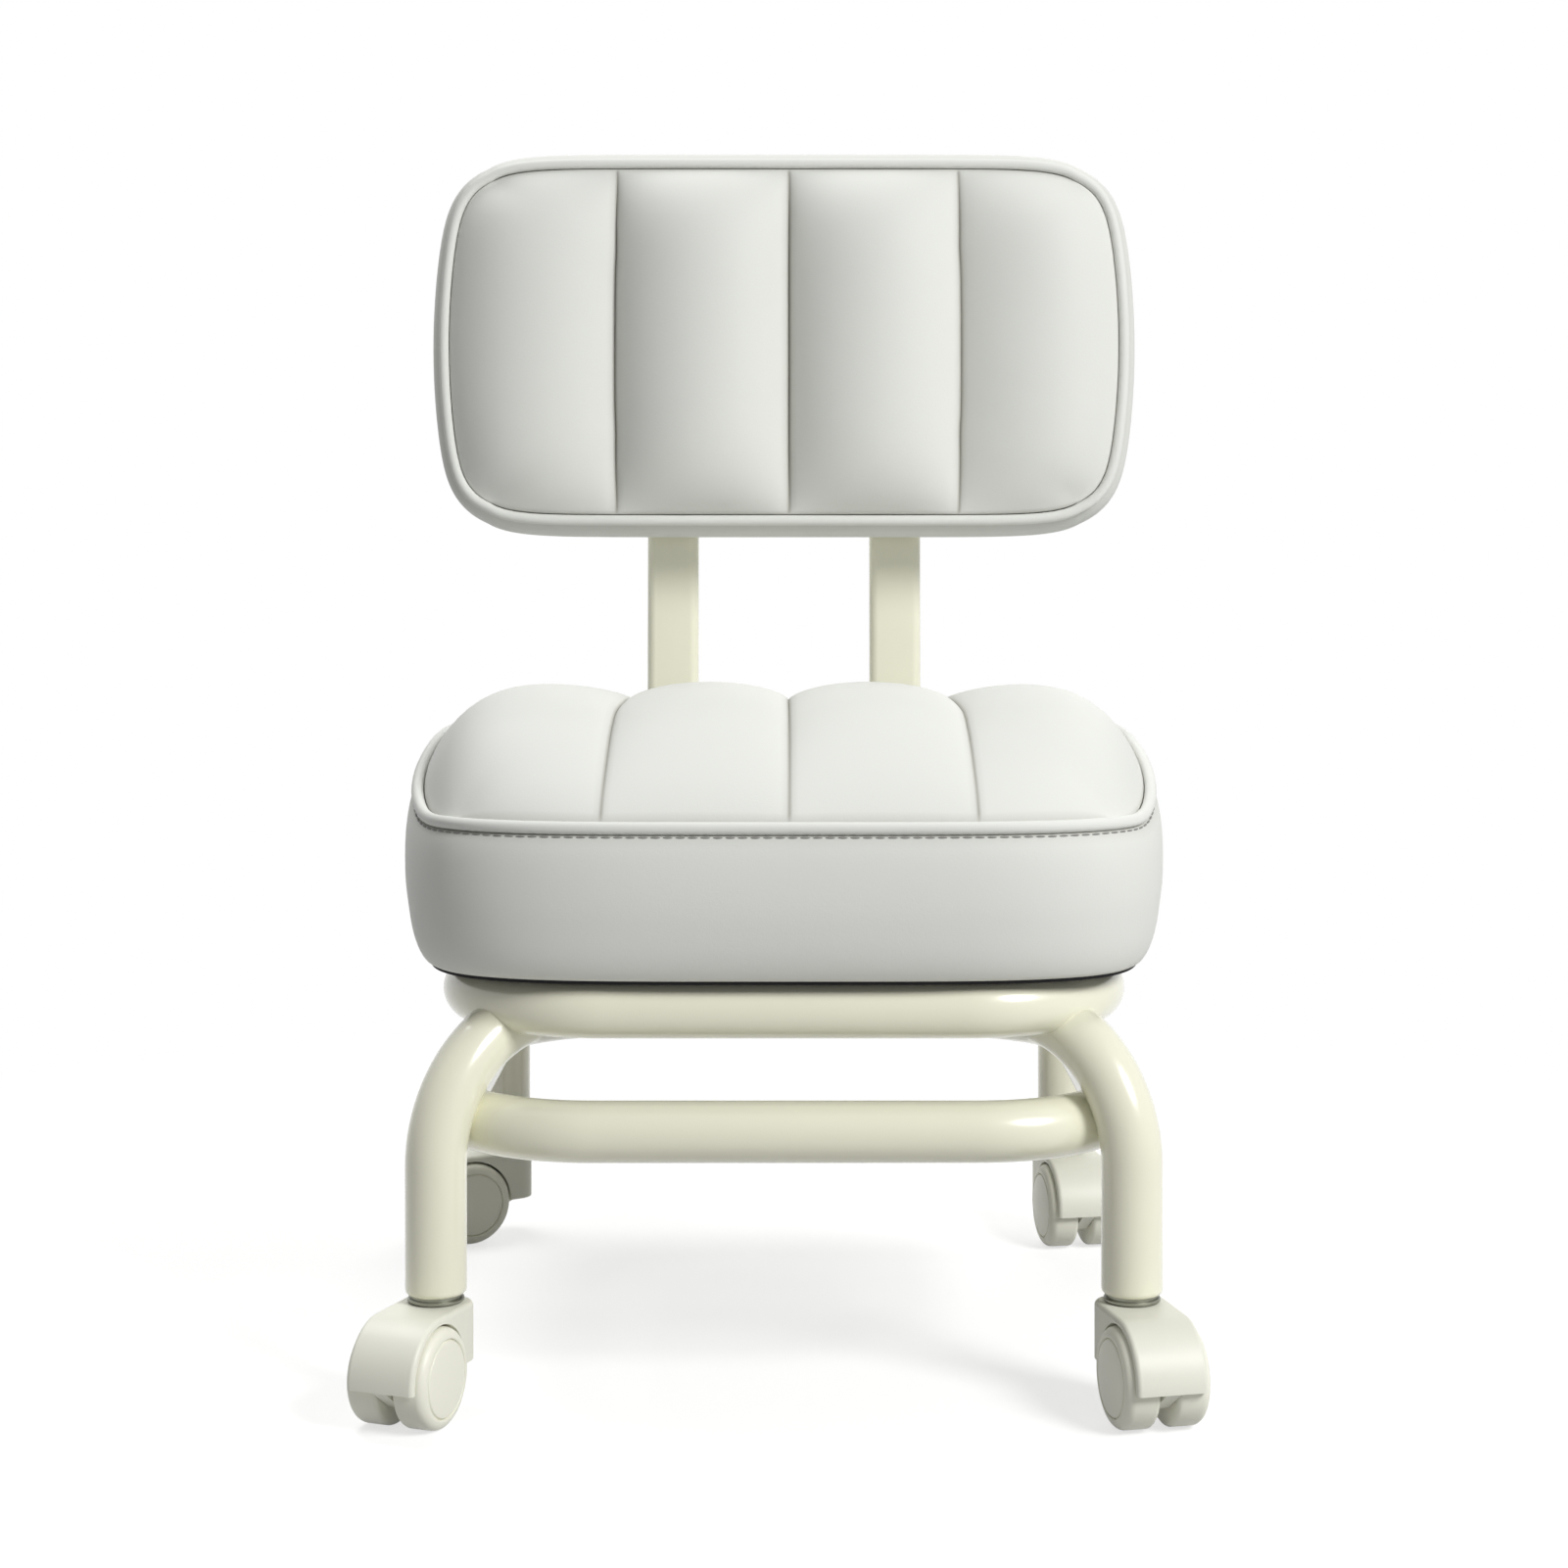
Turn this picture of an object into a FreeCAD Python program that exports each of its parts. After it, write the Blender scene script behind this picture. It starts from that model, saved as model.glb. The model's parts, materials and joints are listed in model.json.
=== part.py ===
import FreeCAD, Part
import Sketcher
import math
import operator
import os
from FreeCAD import Placement, Rotation, Vector

# Rolling stool: bent-tube frame, channelled seat and back, four hooded twin-wheel casters.
# Millimetres, +Z up, the front faces -Y, the origin is on the floor below the middle of the legs.

SIZES = {
    # round tube of the frame
    "tube_dia": 25.0,
    "tube_wall": 1.5,
    # legs: half the distance between their axes, how far below the seat ring they start to bend, the bend
    "leg_spread": 141.0,
    "leg_bend_drop": 63.0,
    "leg_bend_radius": 57.0,
    "leg_bend_angle": 80.0,
    # seat ring: set in from the legs, its height and corner radius, all on the tube's centre line
    "ring_inset": 8.0,
    "ring_height": 161.0,
    "ring_corner": 60.0,
    # footrest ring: how far it hangs below the seat ring, and how clear its corners are of the upright legs
    "footrest_drop": 49.0,
    "footrest_nest": 1.2,
    # flat bars across the seat ring
    "strap_width": 30.0,
    "strap_thick": 3.0,
    "strap_offset": 55.0,
    # flat tubes that carry the backrest
    "post_width": 26.0,
    "post_depth": 13.0,
    "post_wall": 1.5,
    "post_edge": 4.5,
    "post_spacing": 56.5,
    "post_overhang": 15.0,
    "post_bend_rise": 24.0,
    "post_bend_radius": 150.0,
    "post_rise": 55.0,
    "back_lean": 3.0,
    "cap_thick": 2.0,
    "cap_plug": 10.0,
    # seat cushion on its board
    "seat_half_width": 159.0,
    "seat_half_depth": 151.0,
    "seat_post_gap": 2.5,
    "seat_corner": 56.0,
    "seat_bow_radius": 2400.0,
    "seat_band": 65.0,
    "seat_tuck": 17.0,
    "seat_crown": 47.0,
    "seat_seam": 75.0,
    "seat_channel": 7.0,
    "seat_board_thick": 9.0,
    "seat_board_inset": 22.0,
    # the seat's side seams fall towards the front: by how much, from where, and the radii of the curve
    "seat_fall": 23.0,
    "seat_fall_start": 33.0,
    "seat_fall_radius": 379.0,
    "seat_fall_blend": 60.0,
    # back cushion on its board
    "back_height": 446.5,
    "back_half_width": 174.0,
    "back_half_height": 94.0,
    "back_corner": 42.0,
    "back_bow_radius": 1000.0,
    "back_band": 40.0,
    "back_tuck": 12.0,
    "back_crown": 17.0,
    "back_seam": 86.0,
    "back_channel": 6.0,
    "back_board_thick": 9.0,
    "back_board_inset": 24.0,
    "back_cover_thick": 2.5,
    "back_cover_inset": 15.0,
    # piping round both cushions
    "piping_dia": 5.0,
    "piping_inset": 4.5,
    "soft_clear": 0.3,
    # screws and tee nuts
    "screw_dia": 6.0,
    "screw_head_dia": 12.0,
    "screw_head": 3.5,
    "screw_clear": 0.2,
    "seat_screw_spacing": 70.0,
    "back_screw_low": 40.0,
    "back_screw_high": 30.0,
    "nut_barrel_dia": 8.5,
    "nut_flange_dia": 18.0,
    "nut_flange": 1.5,
    # twin-wheel caster
    "wheel_dia": 40.0,
    "wheel_width": 14.2,
    "wheel_gap": 7.0,
    "wheel_edge": 4.0,
    "cap_dia": 31.0,
    "cap_seat": 3.0,
    "cap_bulge": 0.8,
    "caster_trail": 24.0,
    "web_thick": 5.8,
    "hood_clear": 1.0,
    "hood_thick": 2.4,
    "hood_width": 29.5,
    "hood_edge": 2.0,
    "hood_front_height": 19.0,
    "boss_radius": 11.0,
    "boss_round": 9.0,
    "axle_dia": 6.0,
    "pin_dia": 8.0,
    "pin_depth": 10.0,
    "collar_dia": 23.0,
    "collar_height": 3.0,
    "stem_dia": 11.0,
    "stem_length": 24.0,
    "socket_length": 30.0,
    "running_clear": 0.05,
    "swivel_gap": 0.3,
    # the way each caster trails from its leg, in degrees about +Z from +X
    "heading_front_left": -111.0,
    "heading_front_right": -77.0,
    "heading_rear_left": -152.0,
    "heading_rear_right": -80.0,
}

CORNERS = {"front_left": (-1, -1), "front_right": (1, -1), "rear_left": (-1, 1), "rear_right": (1, 1)}
SIDES = {"left": -1, "right": 1}
QUARTER_TURN = 90.0
HALF_TURN = 180.0
DIAGONAL_SLACK = math.sqrt(2.0) - 1.0
GROOVE_SPARE = 1.0
NEAR = 0.01

doc = FreeCAD.newDocument("rolling_stool")
sheet = doc.addObject("Spreadsheet::Sheet", "sizes")
for row, (alias, number) in enumerate(SIZES.items(), 1):
    sheet.set(f"A{row}", alias)
    sheet.set(f"B{row}", str(number))
    sheet.setAlias(f"B{row}", alias)
doc.recompute()

ARITHMETIC = {"+": operator.add, "-": operator.sub, "*": operator.mul, "/": operator.truediv}


class Size:
    """A length or angle: its value now, and the spreadsheet expression that drives it."""

    def __init__(self, text, value):
        self.text = text
        self.value = value

    def __add__(self, other):
        return combined(self, "+", other)

    def __sub__(self, other):
        return combined(self, "-", other)

    def __mul__(self, other):
        return combined(self, "*", other)

    def __truediv__(self, other):
        return combined(self, "/", other)

    def __radd__(self, other):
        return combined(other, "+", self)

    def __rsub__(self, other):
        return combined(other, "-", self)

    def __rmul__(self, other):
        return combined(other, "*", self)

    def __neg__(self):
        return combined(0.0, "-", self)


def as_size(item):
    return item if isinstance(item, Size) else Size(repr(float(item)), float(item))


def combined(left, sign, right):
    left = as_size(left)
    right = as_size(right)
    return Size(f"({left.text} {sign} {right.text})", ARITHMETIC[sign](left.value, right.value))


def cosine(angle):
    return Size(f"cos({angle.text} * 1 deg)", math.cos(math.radians(angle.value)))


def sine(angle):
    return Size(f"sin({angle.text} * 1 deg)", math.sin(math.radians(angle.value)))


def root(item):
    return Size(f"sqrt({item.text})", math.sqrt(item.value))


class Sizes:
    """The spreadsheet's cells by name."""

    def __getattr__(self, alias):
        return Size(f"sizes.{alias}", float(sheet.get(alias)))


size = Sizes()


# Sketches and features

def bind(item, name, amount):
    item.setExpression(name, as_size(amount).text)


def new_body(label):
    body = doc.addObject("PartDesign::Body", label)
    body.Label = label
    return body


def new_sketch(body, plane):
    """A sketch on one of the body's own origin planes."""
    item = body.newObject("Sketcher::SketchObject", "Sketch")
    support = next(part for part in body.Origin.OriginFeatures if part.Role == plane)
    item.AttachmentSupport = [(support, "")]
    item.MapMode = "FlatFace"
    return item


def arc_between(start, end, radius, turn):
    """The shorter arc from start to end: turn is 1 counter-clockwise, -1 clockwise."""
    chord = end - start
    reach = math.sqrt(max(radius * radius - chord.Length ** 2 / 4, 0.0))
    side = Vector(-chord.y, chord.x, 0).normalize() * (reach * turn)
    centre = (start + end) / 2 + side
    first, last = (start, end) if turn > 0 else (end, start)
    circle = Part.Circle(centre, Vector(0, 0, 1), radius)
    angles = [math.atan2(point.y - centre.y, point.x - centre.x) for point in (first, last)]
    return Part.ArcOfCircle(circle, *angles)


def drive(item, constraint, amount):
    """Adds a constraint whose value follows the spreadsheet."""
    index = item.addConstraint(constraint)
    bind(item, f"Constraints[{index}]", amount)


def place_point(item, edge, end, x, y):
    """Ties a sketch point to its two coordinates."""
    for kind, axis, amount in (("DistanceX", -2, x), ("DistanceY", -1, y)):
        if isinstance(amount, Size):
            drive(item, Sketcher.Constraint(kind, -1, 1, edge, end, amount.value), amount)
        else:
            item.addConstraint(Sketcher.Constraint("PointOnObject", edge, end, axis))


def draw(item, corners, closed=True):
    """Lines and arcs through corners. A corner is (x, y), or (x, y, radius, turn) when an arc leaves it.

    A coordinate is a Size, or plain 0 on an axis.
    """
    count = len(corners)
    spots = [Vector(as_size(x).value, as_size(y).value, 0) for x, y, *_ in corners]
    edges = count if closed else count - 1
    ends = []
    for index in range(edges):
        start = spots[index]
        end = spots[(index + 1) % count]
        bend = corners[index][2:]
        if bend:
            radius, turn = bend
            edge = item.addGeometry(arc_between(start, end, radius.value, turn), False)
            ends.append((edge, 1, 2) if turn > 0 else (edge, 2, 1))
        else:
            edge = item.addGeometry(Part.LineSegment(start, end), False)
            ends.append((edge, 1, 2))
    for index, (edge, first, last) in enumerate(ends):
        place_point(item, edge, first, *corners[index][:2])
        following = ends[(index + 1) % edges]
        if closed or index < edges - 1:
            item.addConstraint(Sketcher.Constraint("Coincident", edge, last, following[0], following[1]))
        else:
            place_point(item, edge, last, *corners[-1][:2])
        bend = corners[index][2:]
        if bend:
            drive(item, Sketcher.Constraint("Radius", edge, bend[0].value), bend[0])
    return item


def draw_circle(item, x, y, radius):
    circle = Part.Circle(Vector(as_size(x).value, as_size(y).value, 0), Vector(0, 0, 1), radius.value)
    edge = item.addGeometry(circle, False)
    drive(item, Sketcher.Constraint("Radius", edge, radius.value), radius)
    place_point(item, edge, 3, x, y)
    return item


def pad(body, item, length, both_ways=False):
    feature = body.newObject("PartDesign::Pad", "Pad")
    feature.Profile = item
    feature.SideType = "Symmetric" if both_ways else "One side"
    bind(feature, "Length", length)
    doc.recompute()
    return feature


def pocket_through(body, item):
    feature = body.newObject("PartDesign::Pocket", "Pocket")
    feature.Profile = item
    feature.Type = "ThroughAll"
    feature.SideType = "Symmetric"
    doc.recompute()
    return feature


def revolve(body, item, kind="PartDesign::Revolution"):
    """Turns a sketch once round its own upright axis."""
    feature = body.newObject(kind, "Turned")
    feature.Profile = item
    feature.ReferenceAxis = (item, ["V_Axis"])
    feature.Angle = 360.0
    doc.recompute()
    return feature


def pipe(body, profile, spine):
    feature = body.newObject("PartDesign::AdditivePipe", "Pipe")
    feature.Profile = profile
    feature.Spine = spine
    feature.Transition = "Transformed"
    doc.recompute()
    return feature


def fillet(body, radius, chosen):
    """Rounds the edges of the body's last feature that chosen picks out."""
    base = body.Tip
    names = [f"Edge{index}" for index, edge in enumerate(base.Shape.Edges, 1) if chosen(edge)]
    feature = body.newObject("PartDesign::Fillet", "Fillet")
    feature.Base = (base, names)
    bind(feature, "Radius", radius)
    doc.recompute()
    return feature


def put(item, x=0.0, y=0.0, z=0.0, axis=Vector(0, 0, 1), turn=0.0):
    """Places a piece, with its place and its turn driven by the spreadsheet."""
    spot = [as_size(amount) for amount in (x, y, z)]
    angle = as_size(turn)
    item.Placement = Placement(Vector(*[amount.value for amount in spot]), Rotation(axis, angle.value))
    for name, amount in zip("xyz", spot):
        bind(item, f"Placement.Base.{name}", amount)
    bind(item, "Placement.Rotation.Angle", angle)
    return item


def cut(label, base, tool):
    item = doc.addObject("Part::Cut", label)
    item.Label = label
    item.Base = base
    item.Tool = tool
    doc.recompute()
    return item


def group(label, pieces):
    item = doc.addObject("Part::Compound", label)
    item.Label = label
    item.Links = pieces
    doc.recompute()
    return item


def fused(label, pieces):
    item = doc.addObject("Part::MultiFuse", label)
    item.Label = label
    item.Shapes = pieces
    doc.recompute()
    return item


def cylinder(label, radius, height):
    item = doc.addObject("Part::Cylinder", label)
    bind(item, "Radius", radius)
    bind(item, "Height", height)
    return item


nodes = {}


def keep(name, item):
    """Registers a finished sub-part under the name of its file."""
    item.Label = name
    nodes[name] = item
    return item


# Heights and places that several pieces share

tube_radius = size.tube_dia / 2
bore_radius = tube_radius - size.tube_wall
wheel_radius = size.wheel_dia / 2
hood_radius = wheel_radius + size.hood_clear + size.hood_thick
boss_top = wheel_radius + hood_radius
collar_low = boss_top + size.swivel_gap
leg_end = collar_low + size.collar_height
ring_half = size.leg_spread - size.ring_inset
ring_top = size.ring_height + tube_radius
ring_back = ring_half + tube_radius
leg_bend_height = size.ring_height - size.leg_bend_drop
footrest_height = size.ring_height - size.footrest_drop
footrest_corner = (size.tube_dia + size.footrest_nest) / DIAGONAL_SLACK


# Tube frame

def ring_body(label, half, corner, radius, height):
    """A round bar bent into a closed square with round corners."""
    body = new_body(label)
    straight = half - corner
    spine = draw(new_sketch(body, "XY_Plane"), [
        (half, 0),
        (half, straight, corner, 1),
        (straight, half),
        (-straight, half, corner, 1),
        (-half, straight),
        (-half, -straight, corner, 1),
        (-straight, -half),
        (straight, -half, corner, 1),
        (half, -straight),
    ])
    profile = draw_circle(new_sketch(body, "XZ_Plane"), half, 0, radius)
    pipe(body, profile, spine)
    return put(body, z=height)


def leg_body(label, x_side, y_side, radius):
    """A round bar that stands on the caster, then bends in towards the middle of the stool."""
    body = new_body(label)
    upright = leg_bend_height - leg_end
    reach = size.leg_bend_radius * (1 - cosine(size.leg_bend_angle))
    rise = size.leg_bend_radius * sine(size.leg_bend_angle)
    spine = draw(new_sketch(body, "XZ_Plane"), [
        (0, 0),
        (0, upright, size.leg_bend_radius, -1),
        (reach, upright + rise),
    ], closed=False)
    profile = draw_circle(new_sketch(body, "XY_Plane"), 0, 0, radius)
    pipe(body, profile, spine)
    inward = math.degrees(math.atan2(-y_side, -x_side))
    return put(body, size.leg_spread * x_side, size.leg_spread * y_side, leg_end, turn=inward)


seat_ring_bar = ring_body("seat_ring_bar", ring_half, size.ring_corner, tube_radius, size.ring_height)
seat_ring_bore = ring_body("seat_ring_bore", ring_half, size.ring_corner, bore_radius, size.ring_height)
keep("seat_ring", cut("seat_ring", seat_ring_bar, seat_ring_bore))

leg_bars = []
for place, (x_side, y_side) in CORNERS.items():
    bar = leg_body(f"leg_bar_{place}", x_side, y_side, tube_radius)
    bore = leg_body(f"leg_bore_{place}", x_side, y_side, bore_radius)
    tube = cut(f"leg_tube_{place}", bar, bore)
    # the upper end is coped to the underside of the seat ring
    keep(f"leg_{place}", cut(f"leg_{place}", tube, seat_ring_bar))
    leg_bars.append(bar)

footrest_sizes = (size.leg_spread, footrest_corner)
footrest_bar = ring_body("footrest_bar", *footrest_sizes, tube_radius, footrest_height)
footrest_bore = ring_body("footrest_bore", *footrest_sizes, bore_radius, footrest_height)
footrest_tube = cut("footrest_tube", footrest_bar, footrest_bore)
keep("footrest_ring", cut("footrest_ring", footrest_tube, fused("leg_bars", leg_bars)))


# Screws and tee nuts: both stand on local z = 0, the face under the screw head, and point along +z

def screw(label, grip):
    """A button-head screw, turned round its axis. The shank reaches the far end of its tee nut."""
    body = new_body(label)
    head_radius = size.screw_head_dia / 2
    shank_radius = size.screw_dia / 2
    crown_radius = (head_radius * head_radius + size.screw_head * size.screw_head) / (size.screw_head * 2)
    revolve(body, draw(new_sketch(body, "XZ_Plane"), [
        (0, -size.screw_head, crown_radius, 1),
        (head_radius, 0),
        (shank_radius, 0),
        (shank_radius, grip),
        (0, grip),
    ]))
    return body


def tee_nut(label, low, high):
    """A barrel pressed into a board, with a flange let into the far face."""
    body = new_body(label)
    barrel = size.nut_barrel_dia / 2
    bore = size.screw_dia / 2 + size.screw_clear
    revolve(body, draw(new_sketch(body, "XZ_Plane"), [
        (bore, low),
        (barrel, low),
        (barrel, high - size.nut_flange),
        (size.nut_flange_dia / 2, high - size.nut_flange),
        (size.nut_flange_dia / 2, high),
        (bore, high),
    ]))
    return body


def nut_pocket(label, low, high):
    """The stepped hole that a board needs for a tee nut."""
    body = new_body(label)
    barrel = size.nut_barrel_dia / 2
    revolve(body, draw(new_sketch(body, "XZ_Plane"), [
        (0, low),
        (barrel, low),
        (barrel, high - size.nut_flange),
        (size.nut_flange_dia / 2, high - size.nut_flange),
        (size.nut_flange_dia / 2, high),
        (0, high),
    ]))
    return body


# Straps across the seat ring, with the seat board's screw holes

strap_low = ring_top - size.strap_thick
clear_radius = size.screw_dia / 2 + size.screw_clear
seat_screw_spots = [(size.seat_screw_spacing * x_side, size.strap_offset * y_side)
                    for y_side in (-1, 1) for x_side in (-1, 1)]


def strap_blank(label, y_side):
    body = new_body(label)
    # the ends lie on the ring, half a tube radius in from its middle, and are coped to it
    half_length = ring_half - tube_radius / 2
    half_width = size.strap_width / 2
    outline = draw(new_sketch(body, "XY_Plane"), [
        (-half_length, -half_width),
        (half_length, -half_width),
        (half_length, half_width),
        (-half_length, half_width),
    ])
    for x_side in (-1, 1):
        draw_circle(outline, size.seat_screw_spacing * x_side, 0, clear_radius)
    pad(body, outline, size.strap_thick)
    return put(body, 0.0, size.strap_offset * y_side, strap_low)


for place, y_side in (("front", -1), ("rear", 1)):
    blank = strap_blank(f"strap_blank_{place}", y_side)
    keep(f"seat_strap_{place}", cut(f"seat_strap_{place}", blank, seat_ring_bar))


# Outlines of the cushions and boards: bowed sides and ends, round corners

class Outline:
    """Half sizes and radii of a bowed, round-cornered outline about its own middle."""

    def __init__(self, half_x, half_y, bow, corner):
        self.half_x = half_x
        self.half_y = half_y
        self.bow = bow
        self.corner = corner
        self.side_centre = Vector(half_x - bow, 0, 0)
        self.end_centre = Vector(0, half_y - bow, 0)
        reach = bow - corner
        between = self.end_centre - self.side_centre
        apart = between.Length
        out = Vector(-between.y, between.x, 0).normalize()
        rise = math.sqrt(reach * reach - apart * apart / 4)
        self.corner_centre = self.side_centre + between / 2 + out * rise
        self.side_point = self.side_centre + (self.corner_centre - self.side_centre).normalize() * bow
        self.end_point = self.end_centre + (self.corner_centre - self.end_centre).normalize() * bow

    def inset(self, amount):
        return Outline(self.half_x - amount, self.half_y - amount, self.bow - amount, self.corner - amount)

    def half_width(self, y):
        """Half the outline's width at a distance y from its middle."""
        y = abs(y)
        if y <= self.side_point.y:
            return self.side_centre.x + math.sqrt(self.bow ** 2 - y * y)
        return self.corner_centre.x + math.sqrt(max(self.corner ** 2 - (y - self.corner_centre.y) ** 2, 0.0))

    def wire(self, z):
        """Eight arcs at height z."""
        middle = (self.side_point - self.corner_centre) + (self.end_point - self.corner_centre)
        corner_middle = self.corner_centre + middle.normalize() * self.corner
        side_middle = Vector(self.half_x, 0, 0)
        end_middle = Vector(0, self.half_y, 0)

        def turned(point, x_side, y_side):
            return Vector(point.x * x_side, point.y * y_side, z)

        edges = []
        for arc in (
            (turned(self.side_point, 1, -1), turned(side_middle, 1, 1), turned(self.side_point, 1, 1)),
            (turned(self.side_point, 1, 1), turned(corner_middle, 1, 1), turned(self.end_point, 1, 1)),
            (turned(self.end_point, 1, 1), turned(end_middle, 1, 1), turned(self.end_point, -1, 1)),
            (turned(self.end_point, -1, 1), turned(corner_middle, -1, 1), turned(self.side_point, -1, 1)),
            (turned(self.side_point, -1, 1), turned(side_middle, -1, 1), turned(self.side_point, -1, -1)),
            (turned(self.side_point, -1, -1), turned(corner_middle, -1, -1), turned(self.end_point, -1, -1)),
            (turned(self.end_point, -1, -1), turned(end_middle, 1, -1), turned(self.end_point, 1, -1)),
            (turned(self.end_point, 1, -1), turned(corner_middle, 1, -1), turned(self.side_point, 1, -1)),
        ):
            edges.append(Part.Arc(*arc).toShape())
        return Part.Wire(edges)

    def plate(self, low, high):
        return Part.Face(self.wire(low)).extrude(Vector(0, 0, high - low))


class SeamLine:
    """Side view of a cushion's piped seam: level at the rear, then an arc that falls to a level front."""

    def __init__(self, front, fall=0.0, start=0.0, radius=0.0, blend=0.0):
        self.front = front
        self.rear = front + fall
        self.start = start
        self.radius = radius
        self.blend = blend
        self.foot = start - math.sqrt(2 * fall * (radius + blend) - fall * fall)
        self.arc_centre = Vector(0, start, self.rear - radius)
        self.blend_centre = Vector(0, self.foot, front + blend)

    def height(self, y):
        if y >= self.start:
            return self.rear
        if y <= self.foot:
            return self.front
        inflection = self.foot + (self.start - self.foot) * self.blend / (self.radius + self.blend)
        if y < inflection:
            return self.blend_centre.z - math.sqrt(self.blend ** 2 - (y - self.foot) ** 2)
        return self.arc_centre.z + math.sqrt(self.radius ** 2 - (y - self.start) ** 2)

    def edges(self, lift, reach):
        """The line from y = -reach to y = reach, moved square to itself by lift."""
        rear_end = Vector(0, reach, self.rear + lift)
        front_end = Vector(0, -reach, self.front + lift)
        if self.rear == self.front:
            return [Part.LineSegment(front_end, rear_end).toShape()]
        up = Vector(0, 0, 1)
        slope = (self.blend_centre - self.arc_centre).normalize()
        rear_point = self.arc_centre + up * (self.radius + lift)
        middle_point = self.arc_centre + slope * (self.radius + lift)
        front_point = self.blend_centre - up * (self.blend - lift)
        arc_middle = self.arc_centre + (up + slope).normalize() * (self.radius + lift)
        blend_middle = self.blend_centre - (up + slope).normalize() * (self.blend - lift)
        return [
            Part.LineSegment(front_end, front_point).toShape(),
            Part.Arc(front_point, blend_middle, middle_point).toShape(),
            Part.Arc(middle_point, arc_middle, rear_point).toShape(),
            Part.LineSegment(rear_point, rear_end).toShape(),
        ]

    def below(self, lift, outline):
        """Everything under the lifted line, wide enough for the outline."""
        reach = outline.half_y * BLANK_SPARE
        width = outline.half_x * BLANK_SPARE
        line = self.edges(lift, reach)
        ends = [Vector(0, y, z) for y, z in (
            (reach, self.rear + lift), (reach, -reach), (-reach, -reach), (-reach, self.front + lift))]
        sides = [Part.LineSegment(*ends[index:index + 2]).toShape() for index in range(3)]
        face = Part.Face(Part.Wire(line + sides))
        face.translate(Vector(-width, 0, 0))
        return face.extrude(Vector(2 * width, 0, 0))

    def right_half(self, outline):
        """The line laid round the right half of an outline, from the middle to the middle."""
        wall = outline.wire(0.0).extrude(Vector(0, 0, self.rear * BLANK_SPARE))
        sheet = Part.Wire(self.edges(0.0, outline.half_y * BLANK_SPARE))
        crossing = wall.section(sheet.extrude(Vector(outline.half_x * BLANK_SPARE, 0, 0)))
        return Part.Wire(Part.__sortEdges__(crossing.Edges))


# Each half of the piping is one smooth curve through this many spots of the seam line
PIPING_SPOTS = 49
# How much larger than a cushion the blanks are that trim it
BLANK_SPARE = 1.2
# Side band of a cushion: share of its full height, and share of the tuck by which it is drawn in there
BAND_SWELL = ((0.0, 1.0), (0.14, 0.47), (0.26, 0.20), (0.42, 0.05), (0.64, 0.0))
# How the crown rises from the piping towards the middle, along the channels
CROWN_SQUARENESS = 2.4
CROWN_FULLNESS = 0.75
CROWN_EDGE = 0.08
CROWN_STATIONS = (1.0, 0.93, 0.80, 0.58, 0.30, 0.0)
# The outer channels are fullest this share of the way from the seam to the piping
SHOULDER_PLACE = 0.62
SHOULDER_RISE = 0.93


def crown_section(outline, y, share, floor, base, crest, channel, seam):
    """Four swelling channels across the cushion at one station, on a skirt down to the floor."""
    half = outline.half_width(y)
    seam_x = seam * half / outline.half_x
    rise = (crest - base) * share
    dip = base + rise - channel * share

    def mirrored(point):
        return Vector(-point.x, point.y, point.z)

    foot = Vector(half, y, floor)
    edge = Vector(half, y, base)
    shoulder = Vector(seam_x + SHOULDER_PLACE * (half - seam_x), y, base + SHOULDER_RISE * rise)
    seam_point = Vector(seam_x, y, dip)
    middle = Vector(0, y, dip)
    swell = Vector(seam_x / 2, y, base + rise)
    return Part.Wire([
        Part.LineSegment(mirrored(foot), foot).toShape(),
        Part.LineSegment(foot, edge).toShape(),
        Part.Arc(edge, shoulder, seam_point).toShape(),
        Part.Arc(seam_point, swell, middle).toShape(),
        Part.Arc(middle, mirrored(swell), mirrored(seam_point)).toShape(),
        Part.Arc(mirrored(seam_point), mirrored(shoulder), mirrored(edge)).toShape(),
        Part.LineSegment(mirrored(edge), mirrored(foot)).toShape(),
    ])


def cushion(outline, seam_line, low, tuck, crown, channel, seam):
    """A swelling side band, a slot for the piping, and a crown sewn into four channels.

    Local z = 0 is the face that the cushion's board rests on; the band starts at low.
    """
    pipe_radius = size.piping_dia.value / 2
    inset = size.piping_inset.value
    slot = pipe_radius + size.soft_clear.value
    front_low = seam_line.front - slot
    rear_low = seam_line.rear - slot
    under_slot = seam_line.below(-slot, outline)
    under_crown = seam_line.below(slot, outline)
    levels = [outline.inset(tuck * share).wire(low + (rear_low - low) * rise) for rise, share in BAND_SWELL]
    levels.append(outline.inset(inset).wire(rear_low))
    side = Part.makeLoft(levels, True, False).common(under_slot)
    filling = outline.inset(inset + slot).plate(front_low, seam_line.rear + slot)
    core = filling.common(under_crown).cut(under_slot)
    top = outline.inset(inset)
    reach = top.end_point.y
    crest = seam_line.front + crown
    sections = []
    stations = [-share for share in CROWN_STATIONS] + [share for share in reversed(CROWN_STATIONS[:-1])]
    for station in stations:
        y = station * reach
        fullness = (1 - abs(station) ** CROWN_SQUARENESS) ** CROWN_FULLNESS
        share = CROWN_EDGE + (1 - CROWN_EDGE) * fullness
        base = seam_line.height(y) + slot
        sections.append(crown_section(top, y, share, front_low, base, crest, channel, seam))
    dome = Part.makeLoft(sections, True, False).cut(under_crown)
    return side.fuse([core, dome]).removeSplitter()


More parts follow.
